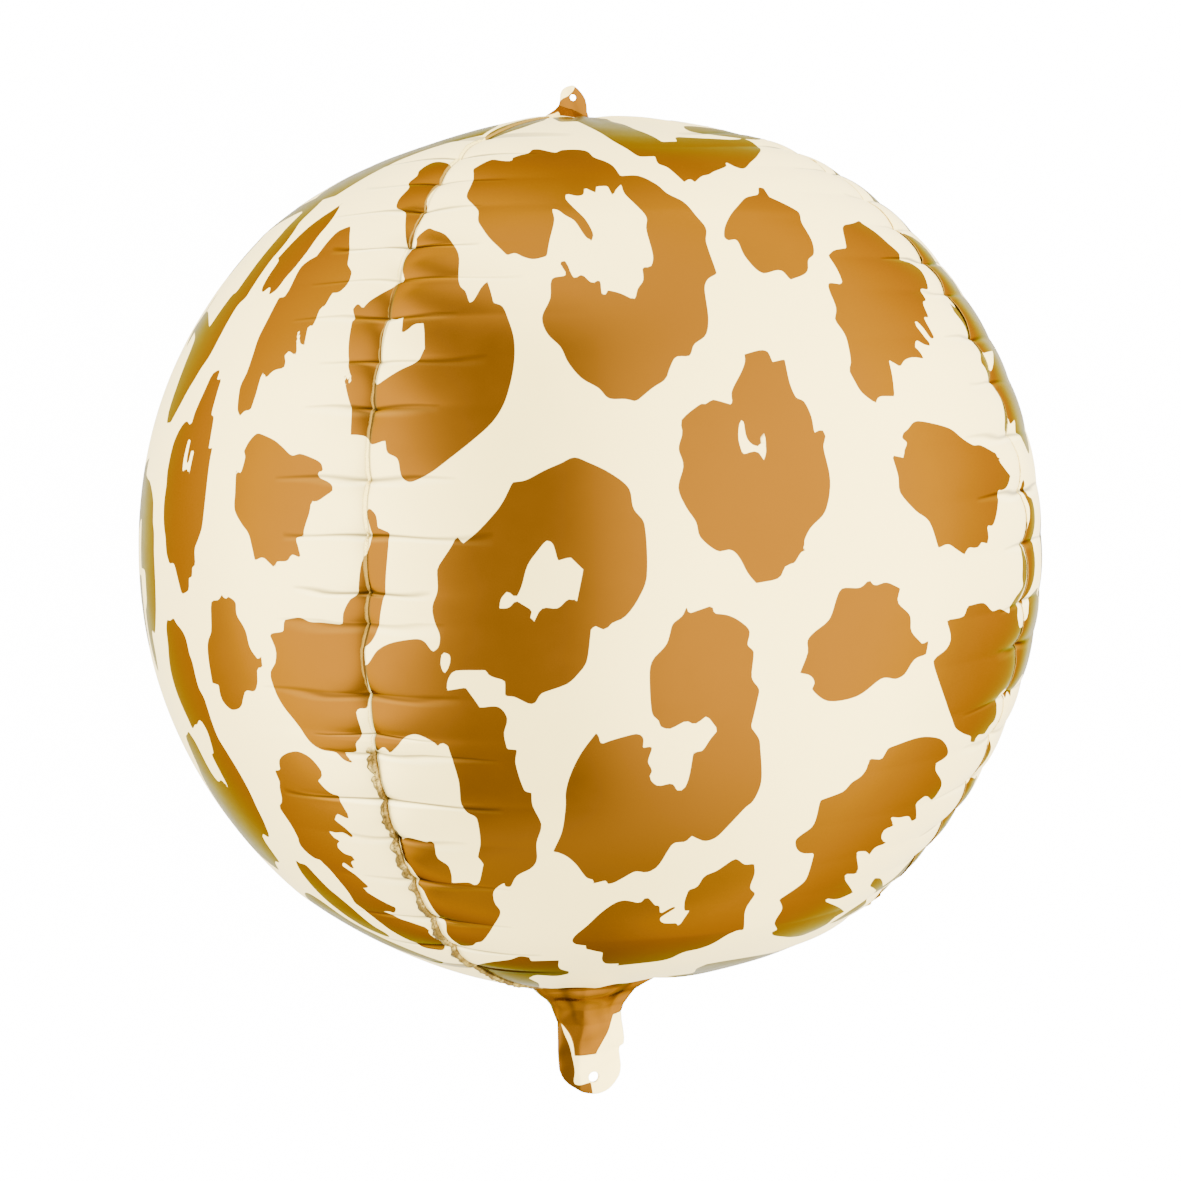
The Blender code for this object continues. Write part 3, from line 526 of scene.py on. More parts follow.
def printField(lon, lat, spots):
    # millimetres into the nearest spot, negative on the cream ground
    field = np.full(len(lon), -printEdge["reach"])
    for spot in spots:
        marks = spot["outline"] if spot.get("settled") else settle(spot["outline"])
        outline = np.array([mark[:2] for mark in marks], float)
        squeeze = math.cos(math.radians(outline[:, 1].mean()))
        size = np.array([squeeze, 1]) * printEdge["mmPerDegree"]
        low, high = outline.min(0) * size - printEdge["reach"], outline.max(0) * size + printEdge["reach"]
        x, y = lon * size[0], lat * size[1]
        near = np.flatnonzero((x > low[0]) & (x < high[0]) & (y > low[1]) & (y < high[1]))
        if not len(near):
            continue
        depth = insideDistance(x[near], y[near], smoothOutline(marks) * size)
        for hole in spot.get("holes", []):
            depth = np.minimum(depth, -insideDistance(x[near], y[near], smoothOutline(hole) * size))
        field[near] = np.maximum(field[near], depth)
    return np.clip(field, -printEdge["reach"], printEdge["reach"])


# Seams: where each runs, and where the film gathers into creases across it
seams = {
    "course": [(-90, 0), (-54, -0.6), (-48, -0.5), (-37, -0.4), (-26, -0.3), (-17, 0.0), (-12.5, 0.4),
               (-8, 0.3), (-5.5, 0.3), (-2.5, 1.0), (0, 1.2), (6, 0.9), (11.5, 0.7), (18, 0.4), (25, 0.0),
               (31, -0.3), (38, -0.6), (44.5, -1.0), (49, -1.5), (54, -2.0), (60, -2.6), (75, -1.5), (90, 0)],
    "slowWander": (0.5, 3),  # how the other three seams stray: degrees, and waves
    "quickWander": (0.35, 7),
    "leftCreases": [-54.5, -48.5, -42, -35, -28.5, -23.2, -17.2, -15, -10.5, -2.6, 0.7, 6.8, 12.7, 20.5,
                    25.8, 31, 35.9, 40.6, 46.3, 51.5, 57.5, 63.5],
    "rightCreases": [-57, -51, -45.5, -39.5, -34, -28, -21.5, -16.3, -10, -4.8, 2.2, 8.4, 15.2, 21.8, 27.4,
                     33.6, 38.2, 43.7, 48.9, 54.6, 60.5, 66],
    "usualGap": 5.5,  # degrees between two creases
    "grooveDepth": 0.0017,
    "grooveReach": 0.006,
    "grooveAtPoles": 0.5,
    "pillow": (0.0019, 0.0027),  # on every other seam the film is gathered harder
    "pillowReach": (0.017, 0.026),
    "pillowRoundness": 2.2,
    "pillowMiddle": 0.6,
    "pillowAtPoles": 0.7,
    "creaseDepth": 0.0004,
    "creaseWidth": 0.0008,
    "creaseReach": (0.020, 0.046),
    "creaseStrength": (0.55, 1.25),
    "creaseFade": 0.8,
    "creaseAtPoles": 1.4,
    "ridge": (0.7, 2.1, 1.5),  # the small rise beside a crease: its height, place and width in creases
    "seed": 11,
}
creaseLine = {  # the thin lines of painted shade and painted highlight along the creases
    "sway": 0.28,  # degrees
    "swayLength": 0.011,  # metres away from the seam
    "swayTurn": 1.7,
    "swayFull": 0.02,
    "overreach": 1.15,
    "fade": 0.45,
    "margin": 1.5,  # degrees past the last crease
}
seamRandom = np.random.default_rng(seams["seed"])


def seamTables():
    tables = []
    for index in range(4):
        lats = np.array(seams["leftCreases"] if index % 2 == 0 else seams["rightCreases"], float)
        tables.append({
            "lats": lats,
            "reach": [seamRandom.uniform(*seams["creaseReach"], len(lats)) for side in ("left", "right")],
            "strength": seamRandom.uniform(*seams["creaseStrength"], len(lats)),
            "wander": seamRandom.uniform(-1, 1, 4),
        })
    return tables


seamTable = seamTables()


def seamLongitude(index, lat):
    base = body["firstSeam"] + index * body["goreAngle"]
    if index % 4 == 0:
        course = np.array(seams["course"], float)
        return base + np.interp(lat, course[:, 0], course[:, 1])
    slow, slowStart, quick, quickStart = seamTable[index % 4]["wander"]
    stray = 0
    for key, share, start in (("slowWander", slow, slowStart), ("quickWander", quick, quickStart)):
        reach, waves = seams[key]
        stray = stray + reach * share * np.sin(np.radians(lat * waves + 90 * start))
    return base + np.cos(np.radians(lat)) ** 0.5 * stray


def creasePhase(table, lat):
    # how many creases lie below a point of the seam, counted smoothly
    return np.interp(lat, table["lats"], np.arange(len(table["lats"])))


def seamRelief(index, side, off, lat):
    # off is the distance from the seam in metres, side is 0 to its left and 1 to its right
    table = seamTable[index % 4]
    level = np.cos(np.radians(lat))
    groove = -seams["grooveDepth"] * np.exp(-off / seams["grooveReach"])
    phase = creasePhase(table, lat)
    gap = np.interp(lat, table["lats"][:-1], np.diff(table["lats"])) / seams["usualGap"]
    along = phase - np.floor(phase)
    dome = 1 - np.abs(2 * along - 1) ** seams["pillowRoundness"] - seams["pillowMiddle"]
    crowded = index % 2  # the seams at the sides are gathered harder
    pillow = seams["pillow"][crowded] * gap * dome * np.exp(-off / seams["pillowReach"][crowded])
    lift = groove * level ** seams["grooveAtPoles"] + pillow * level ** seams["pillowAtPoles"]
    lift = lift * np.ones_like(lat)
    width = seams["creaseWidth"]
    height, place, breadth = seams["ridge"]
    strongest = np.minimum(level * seams["creaseAtPoles"], 1)
    for crease, reach, strength in zip(table["lats"], table["reach"][side], table["strength"]):
        away = (lat - crease) * math.radians(body["radius"])
        fade = np.clip(1 - off / reach, 0, 1) ** seams["creaseFade"] * strength * strongest
        ridge = height * np.exp(-(((away + place * width) / (breadth * width)) ** 2))
        dip = -np.exp(-((away / width) ** 2)) + ridge
        lift = lift + seams["creaseDepth"] * dip * fade
    return lift


def creaseMarks(index, side, off, lat):
    # where along the run of creases a point lies, and how strongly the nearest crease's painted shade and
    # highlight show there
    table = seamTable[index % 4]
    sway = creaseLine["sway"] * np.sin(off / creaseLine["swayLength"] + creaseLine["swayTurn"] * lat)
    phase = creasePhase(table, lat + sway * np.clip(off / creaseLine["swayFull"], 0, 1))
    nearest = np.clip(np.round(phase).astype(int), 0, len(table["lats"]) - 1)
    reach = creaseLine["overreach"] * table["reach"][side][nearest]
    fade = np.clip(1 - off / reach, 0, 1) ** creaseLine["fade"] * table["strength"][nearest]
    low, high = table["lats"][0] - creaseLine["margin"], table["lats"][-1] + creaseLine["margin"]
    return phase, fade * ((lat > low) & (lat < high))


# Gores
gore = {
    "columns": 240,
    "rows": 404,
    "crowding": 0.3,  # columns crowd on the seams
    "samples": 7201,
    "poleRows": (62, 0.42),  # rows thin out beyond this latitude, to this share
    "creaseRows": (1.3, 0.3, 0.75),  # more rows on a crease: how many, how far below it, how wide
    "unevenness": 0.00016,
    "waves": [(41, 23, 2, 1), (-17, 52, 13, 0), (29, -31, 37, 2)],  # radians a metre on x, y, z, and a start
    "polePleat": 0.0010,
    "polePleats": 9,
    "finerPleats": (0.6, 2.6),  # height and number beside the main ones
    "pleatStart": (0.7, 2),
    "pleatsAtTab": (0.5, 70, 80, 84),  # share, and the latitudes between which they stand
    "pleatsAtNeck": (1, 64, 77, 82),
    "seamGapShadeReach": 0.003,  # metres from the seam
}
hiddenRepeat = {  # the part that turns out of sight carries the left end of the same repeat
    "from": -72,
    "longitude": [-116, -72],
    "shownAs": [-26, -4],
}


def rowLatitudes(count):
    # rows crowd on the creases, and thin out towards the poles
    lat = np.linspace(-90, 90, gore["samples"])
    poleFrom, thinned = gore["poleRows"]
    more, below, reach = gore["creaseRows"]
    density = np.where(np.abs(lat) < poleFrom, 1.0, thinned)
    for crease in seams["leftCreases"] + seams["rightCreases"]:
        density += more * np.exp(-(((lat - crease + below) / reach) ** 2))
    total = np.concatenate([[0], np.cumsum((density[1:] + density[:-1]) / 2)])
    return np.interp(np.linspace(0, total[-1], count), total, lat)


def unevenness(point):
    x, y, z = (point - np.array(body["centre"])).T
    waves = sum(np.sin(a * x + b * y + c * z + start) for a, b, c, start in gore["waves"])
    return gore["unevenness"] * waves


def poleRelief(lon, lat):
    turn = np.radians(lon) * gore["polePleats"]
    finer, times = gore["finerPleats"]
    first, second = gore["pleatStart"]
    pleats = np.sin(turn + first) + finer * np.sin(times * turn + second)
    height = 0
    for key, way in (("pleatsAtTab", 1), ("pleatsAtNeck", -1)):
        share, begin, full, last = gore[key]
        height = height + share * smoothStep(begin, full, way * lat) * smoothStep(90, last, way * lat)
    return gore["polePleat"] * height * pleats


def goreSpots(index, lon, lat):
    if index == 3:
        shared = [spot for spot in frontPrint if spot["name"] in sharedWithLeft]
        own = printField(lon, lat, leftPrint + shared)
        shownAs = np.interp(lon, hiddenRepeat["longitude"], hiddenRepeat["shownAs"])
        return np.where(lon < hiddenRepeat["from"], printField(shownAs, lat, frontPrint), own)
    return printField(lon - body["goreAngle"] * index, lat, frontPrint + (rightPrint if index == 1 else []))


def makeGore(index, name, material):
    obj, u, v = addGrid(name, gore["columns"], gore["rows"])
    lats = rowLatitudes(gore["rows"] + 1)
    lat = np.interp(v, np.linspace(0, 1, gore["rows"] + 1), lats)
    across = u - gore["crowding"] * np.sin(2 * np.pi * u) / (2 * np.pi)
    here = index if index < 3 else -1  # the left gore runs from the last seam up to the first
    start, end = seamLongitude(here, lat), seamLongitude(here + 1, lat)
    lon = start + (end - start) * across
    perDegree = math.radians(body["radius"]) * np.cos(np.radians(lat))
    offStart, offEnd = (lon - start) * perDegree, (end - lon) * perDegree
    lift = seamRelief(here, 1, offStart, lat) + seamRelief(here + 1, 0, offEnd, lat) + poleRelief(lon, lat)
    point = onFilm(lon, lat, lift)
    point = onFilm(lon, lat, lift + unevenness(point))
    point[:, 2] = np.maximum(point[:, 2], 0.0)
    movePoints(obj, point)
    setValues(obj, "printEdge", goreSpots(index, lon, lat))
    for label, seam, side, off in (("start", here, 1, offStart), ("end", here + 1, 0, offEnd)):
        phase, fade = creaseMarks(seam, side, off, lat)
        setValues(obj, label + "Phase", phase)
        setValues(obj, label + "Fade", fade)
    # how near the seam, for the painted shade along it
    setValues(obj, "seamNearness", np.clip(1 - np.minimum(offStart, offEnd) / gore["seamGapShadeReach"], 0, 1))
    mergeDoubles(obj)
    finishPiece(obj, material)


# Weld flanges: the two films of a seam sealed together, folded over to the left and crinkled
flange = {
    "rows": 1300,
    "columns": 5,
    "width": (0.0014, 0.0030),
    "ropeWidth": [(-84, 0.0024), (-54, 0.0028), (-25, 0.0032), (-17, 0.0044), (84, 0.0044)],
    "ropeFrom": -16.6,  # below this latitude the first weld stands clear, crumpled into a thin roll
    "ropeFade": 0.4,
    "thickness": 0.00035,
    "foot": 0.0008,
    "tip": 84,
    "tipFade": 8,
    "nip": 0.45,
    "nipSharpness": 6,
    "wavy": 0.22,
    "sway": 20,
    "leanLimits": (8, 97),  # degrees from upright
    "rippleHeight": 0.00028,
    "rippleSkew": 0.6,
    "rippleAtFoot": 0.3,
    "rippleAside": 0.4,
    "clearOfFilm": 0.0003,
    "restingRipple": 0.5,
    "ropeLift": 0.0007,
    "ropeCrown": (0.0012, 1.15),  # height, and how soon it is reached across
    "ropeFoot": 0.2,
    "slip": 0.0005,
    # degrees along the seam from one crinkle to the next
    "pitch": {"width": 1.1, "wavy": 4.5, "sway": 2.3, "crumple": 0.55, "ripple": 0.42, "slip": 0.8},
    "seed": 5,
}
ropeGain = {  # a value on a plain weld, and what the free part adds to it
    "uneven": (0.16, 0.24),
    "lean": (62, 16),
    "crumple": (8, 12),
    "roll": (18, 22),
    "ripple": (0.5, 1.8),
}


def crinkle(random, lat, pitch):
    # steady noise along the seam, with a value each pitch degrees
    count = int(180 / pitch) + 2
    values = random.uniform(-1, 1, count)
    place = (lat + 90) / pitch
    low = np.floor(place).astype(int)
    t = place - low
    t = t * t * (3 - 2 * t)
    return values[low] * (1 - t) + values[low + 1] * t


def gained(key, rope):
    plain, added = ropeGain[key]
    return plain + added * rope


def makeFlange(index, name, material):
    random = np.random.default_rng(flange["seed"] + index)
    pitch = flange["pitch"]
    obj, u, v = addGrid(name, flange["columns"], flange["rows"])
    lat = -flange["tip"] + 2 * flange["tip"] * v
    zero = np.zeros_like(lat)
    rope = zero
    if index == 0:
        begin, fade = flange["ropeFrom"], flange["ropeFade"]
        rope = smoothStep(begin + fade, begin - fade, lat)
    phase = creasePhase(seamTable[index], lat)
    # the flange is nipped where a crease crosses it
    tuck = np.abs(2 * (phase - np.floor(phase)) - 1) ** flange["nipSharpness"]
    ropeMarks = np.array(flange["ropeWidth"])
    plain = flange["width"][index % 2]
    width = plain + (np.interp(lat, ropeMarks[:, 0], ropeMarks[:, 1]) - plain) * rope
    uneven = gained("uneven", rope) * crinkle(random, lat, pitch["width"])
    width = width * (1 + uneven + flange["wavy"] * crinkle(random, lat, pitch["wavy"]))
    width = width * (1 - flange["nip"] * tuck)
    width = width * smoothStep(flange["tip"], flange["tip"] - flange["tipFade"], np.abs(lat))
    lean = gained("lean", rope) + flange["sway"] * crinkle(random, lat, pitch["sway"])
    lean = lean + gained("crumple", rope) * crinkle(random, lat, pitch["crumple"])
    lean = lean + gained("roll", rope) * u  # the outer edge rolls further over than the foot
    angle = np.radians(np.clip(lean, *flange["leanLimits"]))
    seam = seamLongitude(index, lat)
    foot = seamRelief(index, 0, zero, lat) - flange["foot"]
    ripple = flange["rippleHeight"] * gained("ripple", rope) * (flange["rippleAtFoot"] + u)
    ripple = ripple * crinkle(random, lat + flange["rippleSkew"] * u, pitch["ripple"])
    rise = foot + (width + flange["foot"]) * u * np.cos(angle) + ripple
    under = seamRelief(index, 0, width * u, lat) - flange["foot"] * (1 - u)
    rise = np.maximum(rise, under + flange["clearOfFilm"] * u + flange["restingRipple"] * ripple)
    crown, spread = flange["ropeCrown"]
    lifted = flange["ropeLift"] + crown * np.sin(np.pi * np.minimum(u * spread, 1))
    rise = rise + rope * lifted * smoothStep(0, flange["ropeFoot"], u)
    perDegree = math.radians(body["radius"])
    aside = width * u * np.sin(angle) + flange["rippleAside"] * ripple
    aside = aside / (perDegree * np.cos(np.radians(lat)))
    shift = flange["slip"] * crinkle(random, lat, pitch["slip"]) * u * rope / perDegree
    movePoints(obj, onFilm(seam - aside, lat + shift, rise))
    beside = goreSpots(3, seam - aside, lat) if index == 0 else goreSpots(index, seam + aside, lat)
    setValues(obj, "printEdge", beside)
    setValues(obj, "rope", rope)
    setValues(obj, "acrossWeld", u)
    thicken(obj, flange["thickness"])
    applyModifiers(obj)
    finishPiece(obj, material)


def edgesAt(sizes, out):
    # how far across the two edges lie, at a distance out from the foot plane
    return (np.interp(out, *np.array(sizes[side], float).T) for side in ("left", "right"))


def standOnPole(obj, co, foot, way):
    # tab and neck stand on the poles and face the middle of the front gore
    across, out, off = co.T / 1000
    side = outward(np.array([body["printFacing"] + 90.0]))[0]
    face = outward(np.array([body["printFacing"]]))[0]
    place = np.array(body["centre"]) + across[:, None] * side + off[:, None] * face
    place[:, 1] += way * (foot + out)
    movePoints(obj, place)


# The foot planes of the tab and the neck stand this many metres from the balloon's centre.
# Their other sizes are in millimetres: edges as (out from the foot plane, across), prints as (across, out).
tab = {
    "foot": 0.188,
    "left": [(-6, -22), (2.5, -20), (4.9, -16.1), (6, -14.2), (7.1, -12.5), (8.6, -11.3), (11.2, -10.5),
             (13.9, -10.1), (15.4, -9.3), (16.5, -8.2), (17.2, -6.8), (17.6, -5.0)],
    "right": [(-6, 9), (2.5, 5.5), (4.4, 2.6), (6.2, 1.9), (9.1, 1.9), (11.7, 1.4), (13.4, 0.5), (14.7, -0.5),
              (16, -1.8), (17.1, -3.2), (17.6, -4.2)],
    "root": -6.0,
    "tip": 17.6,
    "grid": (56, 72),
    "thickness": 0.7,
    "foldLine": [(-11, 8.4), (-5.3, 7.3), (0.2, 4.6)],  # (across, out)
    "foldHeight": 0.9,  # the tab stands this far out past the fold line, and the film falls away below it
    "foldFall": 0.6,
    "slope": 0.16,
    "wave": (0.25, 0.8, 0.3),  # height, and its turns across and outwards
    "tipBend": (0.05, 9, 1.3),  # how much, from where, and how sharply
    "edgeLift": (0.9, -11, -17),  # how much, and between which places across
    "hole": (-4.4, 12.4, 1.4),  # across, out, radius
    "creamCorner": [(-3.4, 17.2, 1), (-4.2, 15.6), (-5.3, 14.3), (-6.8, 13), (-9.2, 11.9), (-10.6, 10.8, 1),
                    (-14, 12, 1), (-13, 20, 1), (-3.4, 20, 1)],
    "creamNotch": [(-11.2, 6.2), (-10.3, 4.5), (-10.2, -1, 1), (-24, -1, 1), (-24, 4.2, 1), (-17, 4.4),
                   (-13, 5.4)],
}


def makeTab(material):
    obj, u, v = addGrid("hangingTab", *tab["grid"])
    out = tab["root"] + (tab["tip"] - tab["root"]) * v
    low, high = edgesAt(tab, out)
    across = low + (high - low) * u
    foldLine = np.interp(across, *np.array(tab["foldLine"]).T)
    below = np.clip(foldLine - out, 0, None)
    height, acrossTurn, outTurn = tab["wave"]
    off = tab["foldHeight"] * np.exp(-below * tab["foldFall"]) - tab["slope"] * below
    off = off + height * np.sin(acrossTurn * across + outTurn * out)
    bend, bendFrom, power = tab["tipBend"]
    lift, liftFrom, liftFull = tab["edgeLift"]
    off = off - bend * np.clip(out - bendFrom, 0, None) ** power
    off = off + lift * smoothStep(liftFrom, liftFull, across)
    movePoints(obj, np.stack([across, out, off], -1))
    thicken(obj, tab["thickness"])
    punchHole(obj, *tab["hole"])
    co = points(obj)
    brown = np.minimum(-insideOutline(co, tab["creamCorner"]), -insideOutline(co, tab["creamNotch"]))
    setValues(obj, "printEdge", np.clip(brown, -printEdge["reach"], printEdge["reach"]))
    standOnPole(obj, co, tab["foot"], 1)
    finishPiece(obj, material)


def punchHole(obj, across, out, radius):
    deselectAll()
    bpy.ops.mesh.primitive_cylinder_add(vertices=40, radius=radius, depth=30, location=(across, out, 0))
    cutter = bpy.context.object
    hole = obj.modifiers.new("hole", "BOOLEAN")
    hole.operation = "DIFFERENCE"
    hole.solver = "EXACT"
    hole.object = cutter
    applyModifiers(obj)
    bpy.data.objects.remove(cutter, do_unlink=True)


neck = {
    "foot": 0.192,
    "left": [(-9, -48), (-2, -42), (3, -38), (8.5, -32), (12.4, -28.2), (14.8, -25.2), (18.4, -22.4),
             (22.4, -20.7), (27.7, -18.6), (41.2, -18.6), (50.3, -18.2), (53, -17.4), (55.1, -16.4),
             (57.2, -14.5), (58.9, -12), (60.9, -9), (62.1, -6), (62.7, -3.4)],
    "right": [(-9, 44), (-2, 38), (3, 35), (8.5, 27), (10.5, 22.6), (13.3, 18), (17.5, 14.3), (20.5, 12.2),
              (23.9, 11.1), (28.7, 11.5), (34, 12.3), (37.8, 12.8), (40.6, 12.6), (41.4, 11), (42, 10.4),
              (44, 10.3), (50.7, 11), (53.4, 10.7), (55.5, 10), (58.4, 7.8), (60.8, 5.3), (62, 3),
              (62.7, 0.4)],
    "half": [(-9, 30), (-2, 25), (3, 19), (8.5, 13), (14, 9), (20, 6), (28, 3.4), (36, 1.9), (43, 1.1),
             (52, 0.8), (62.7, 0.5)],  # (out, half of the depth)
    "root": -9.0,
    "tip": 62.7,
    "rings": 190,
    "sides": 150,
    "ringCrowding": 0.12,
    "roundness": (0.75, 0.8),  # powers that shape the tube across and in depth
    "merge": 0.001,
    "gather": (46, 6),  # where the pleats begin, and where they are full
    "pleats": 0.9,
    "folds": [(1, 5.2, 0.05, 0.9), (0.4, 9.5, -0.09, 0)],  # height, turns across and outwards, start
    "swag": (0.5, 0.62, 2.4),  # height, and its turns outwards and across
    "swagEnd": (22, 6),
    "frontEdge": (-0.1, 0.2),
    "backPleats": 0.5,
    "bend": 0.55,  # the left strip is bent back
    "bendFrom": -9.0,
    "bendRound": 2,
    "bendRise": (12, 30),
    "panelRise": 0.45,
    "panelEdge": (-0.25, 0.25),
    "ripple": (0.2, 0.5, 0.3),  # the same
    "rippleRise": (20, 44),
    "tailWave": (0.35, 0.23, 0.5),  # height, turns outwards, start
    "stripShade": 0.42,
    "stripEdge": (-0.4, 0.6),
    "foldShades": [(-0.62, 0.07, 0.5, 34), (-0.34, 0.05, 0.3, 24), (0.1, 0.04, 0.22, 18),
                   (0.44, 0.06, 0.34, 30), (0.97, 0.05, 0.45, 40)],  # place across, width, strength, end
    "foldSpread": 0.004,
    "foldFade": 18,
    "hole": (-2.9, 54.4, 2.5),
    "brownPanel": [(-48, -12, 1), (50, -12, 1), (50, 3, 1), (31, 8.6), (20, 12.5), (15, 16.5),
                   (11.6, 23.4, 1), (6.3, 24.8, 1), (5.4, 28), (3.9, 33), (1.2, 38), (-1.2, 42.1),
                   (-1.5, 43.3, 1), (-11.9, 43.3, 1), (-12.6, 38), (-14.6, 32), (-18, 27), (-23, 20),
                   (-30, 12), (-40, 2)],
    "brownEdge": [(-32, 12, 1), (-18.4, 26), (-16.4, 32), (-14.2, 38), (-13.1, 42.1), (-11.8, 50.7),
                  (-11.8, 57), (-4.5, 56.5, 1), (-3.2, 63.5, 1), (-12, 64), (-24, 58), (-26, 40), (-30, 25)],
}


def squared(turn, power):
    # a circle's sine or cosine, pushed outwards or flattened
    return np.sign(turn) * np.abs(turn) ** power


def neckRelief(across, out, share, level):
    # the folds, creases and bends of the neck, off its flattened tube
    gather = smoothStep(*neck["gather"], out)
    fold = sum(high * np.sin(a * share + b * out + start) for high, a, b, start in neck["folds"])
    high, outTurn, shareTurn = neck["swag"]
    swag = high * np.sin(outTurn * out + shareTurn * share**2) * smoothStep(*neck["swagEnd"], out)
    front = smoothStep(*neck["frontEdge"], level)
    off = (neck["pleats"] * gather * fold + swag) * (front + neck["backPleats"]) * np.abs(level) ** 0.5
    beyond = np.clip(neck["bendFrom"] - across, 0, None)
    off = off - neck["bend"] * beyond**2 / (beyond + neck["bendRound"]) * smoothStep(*neck["bendRise"], out)
    panel = insideDistance(across, out, smoothOutline(neck["brownPanel"]))
    high, outTurn, acrossTurn = neck["ripple"]
    ripple = high * np.sin(outTurn * out + acrossTurn * across) * smoothStep(*neck["rippleRise"], out)
    off = off + front * (neck["panelRise"] * smoothStep(*neck["panelEdge"], panel) + ripple)
    high, outTurn, start = neck["tailWave"]
    return off + high * np.sin(outTurn * out + start) * (1 - gather)


def makeNeck(material):
    # a grid bent round into a flattened tube, whose rings follow the two edges of the neck
    obj, u, v = addGrid("fillingNeck", neck["sides"], neck["rings"])
    crowded = v - neck["ringCrowding"] * np.sin(2 * np.pi * v) / (2 * np.pi)
    out = neck["root"] + (neck["tip"] - neck["root"]) * crowded
    low, high = edgesAt(neck, out)
    turn = 2 * np.pi * u
    middle, reach = (low + high) / 2, (high - low) / 2
    acrossPower, depthPower = neck["roundness"]
    across = middle - reach * squared(np.cos(turn), acrossPower)
    off = np.interp(out, *np.array(neck["half"], float).T) * squared(np.sin(turn), depthPower)
    off = off + neckRelief(across, out, (across - middle) / reach, np.sin(turn))
    movePoints(obj, np.stack([across, out, off], -1))
    mergeDoubles(obj, neck["merge"])
    closeEnds(obj)
    punchHole(obj, *neck["hole"])
    co = points(obj)
    edge = insideOutline(co, neck["brownEdge"])
    brown = np.maximum(insideOutline(co, neck["brownPanel"]), edge)
    setValues(obj, "printEdge", np.clip(brown, -printEdge["reach"], printEdge["reach"]))
    # painted shade on the bent strip and the gathered folds, read through the crease lines' startFade
    # attribute
    low, high = edgesAt(neck, co[:, 1])
    share = (2 * co[:, 0] - low - high) / (high - low)
    shade = neck["stripShade"] * smoothStep(*neck["stripEdge"], edge)
    for place, width, strength, end in neck["foldShades"]:
        line = np.exp(-(((share - place - neck["foldSpread"] * co[:, 1]) / width) ** 2))
        shade = np.maximum(shade, strength * line * smoothStep(end, end - neck["foldFade"], co[:, 1]))
    setValues(obj, "startFade", shade)
    standOnPole(obj, co, neck["foot"], -1)
    finishPiece(obj, material)


def closeEnds(obj):
    selectOnly(obj)
    bpy.ops.object.mode_set(mode="EDIT")
    bpy.ops.mesh.select_all(action="DESELECT")
    bpy.ops.mesh.select_mode(type="EDGE")
    bpy.ops.mesh.select_non_manifold(extend=False)
    bpy.ops.mesh.edge_face_add()
    bpy.ops.mesh.select_all(action="SELECT")
    bpy.ops.mesh.normals_make_consistent(inside=False)
    bpy.ops.object.mode_set(mode="OBJECT")


# Materials
film = {
    "cream": (0.88, 0.69, 0.235, 1),
    "creamShade": (0.85, 0.665, 0.225, 1),
    "brown": (0.111, 0.0415, 0.0022, 1),
    "brownShade": (0.104, 0.0390, 0.0020, 1),
    "creamEdge": (0.62, 0.54, 0.38, 1),
    "brownEdge": (0.46, 0.45, 0.20, 1),
    "roughness": (0.36, 0.24),  # of the cream, and of the brown
    "metallic": (0.42, 1.0),
    "wear": 0.03,
    "edgeSoftness": 0.11,
    "grainScale": 9,
    "grainDepth": 0.012,
    "drift": (0.35, 0.65),
    "creasePitch": 19.0,
    "creaseShares": (0.75, 1.15),  # of the painted highlight line, and of the painted shade line
    # painted shade and painted highlight colours for the creases, on cream and on brown
    "creasePaintedShade": (0.20, 0.155, 0.05, 1),
    "creasePaintedShadeBrown": (0.026, 0.0105, 0.0009, 1),
    "creasePaintedHighlight": (0.95, 0.80, 0.36, 1),
    "creasePaintedHighlightBrown": (0.155, 0.071, 0.0075, 1),
    "seamGapShade": (0.055, 0.043, 0.012, 1),
    "seamGapShadeNear": (0.72, 0.92),  # painted shade standing for the dark gap at a seam: how near, and in which random patches it shows
    "seamGapShadeOpen": (0.47, 0.55, 0.05, 0.55),
}
weld = {
    "gold": (0.175, 0.098, 0.014, 1),
    "cream": (0.74, 0.57, 0.17, 1),
    "tan": (0.118, 0.068, 0.0105, 1),
    # painted highlight and painted shade for the crumpled roll
    "paintedHighlight": (0.34, 0.235, 0.06, 1),
    "paintedShade": (0.030, 0.0145, 0.0025, 1),
    "grainScale": 160,
    "grainDepth": 0.35,
    # where the painted highlight and the painted shade show on the roll, by noise and across it
    "crumple": (0.50, 0.66),
    "wrinkle": (0.50, 0.62, 0, 0.8),
    "footRim": (0.0, 0.16, 0.9, 0),
    "outerRim": (0.84, 1.0, 0, 0.9),
    "metallic": 0.8,
    "roughness": (0.22, 0.4),
}
grain = {
    "driftDetail": 2,
    "rippleDetail": 3,
    "rippleTimes": 9,  # how much finer the ripple is than the drift
    "bumpDistance": 0.0004,
    "rippleRange": (0.3, 0.7),
}
creaseBands = [("Dark", 0.0, 1.05), ("Light", -1.6, 1.4)]  # each painted line, shade then highlight: its place beside the crease, its reach
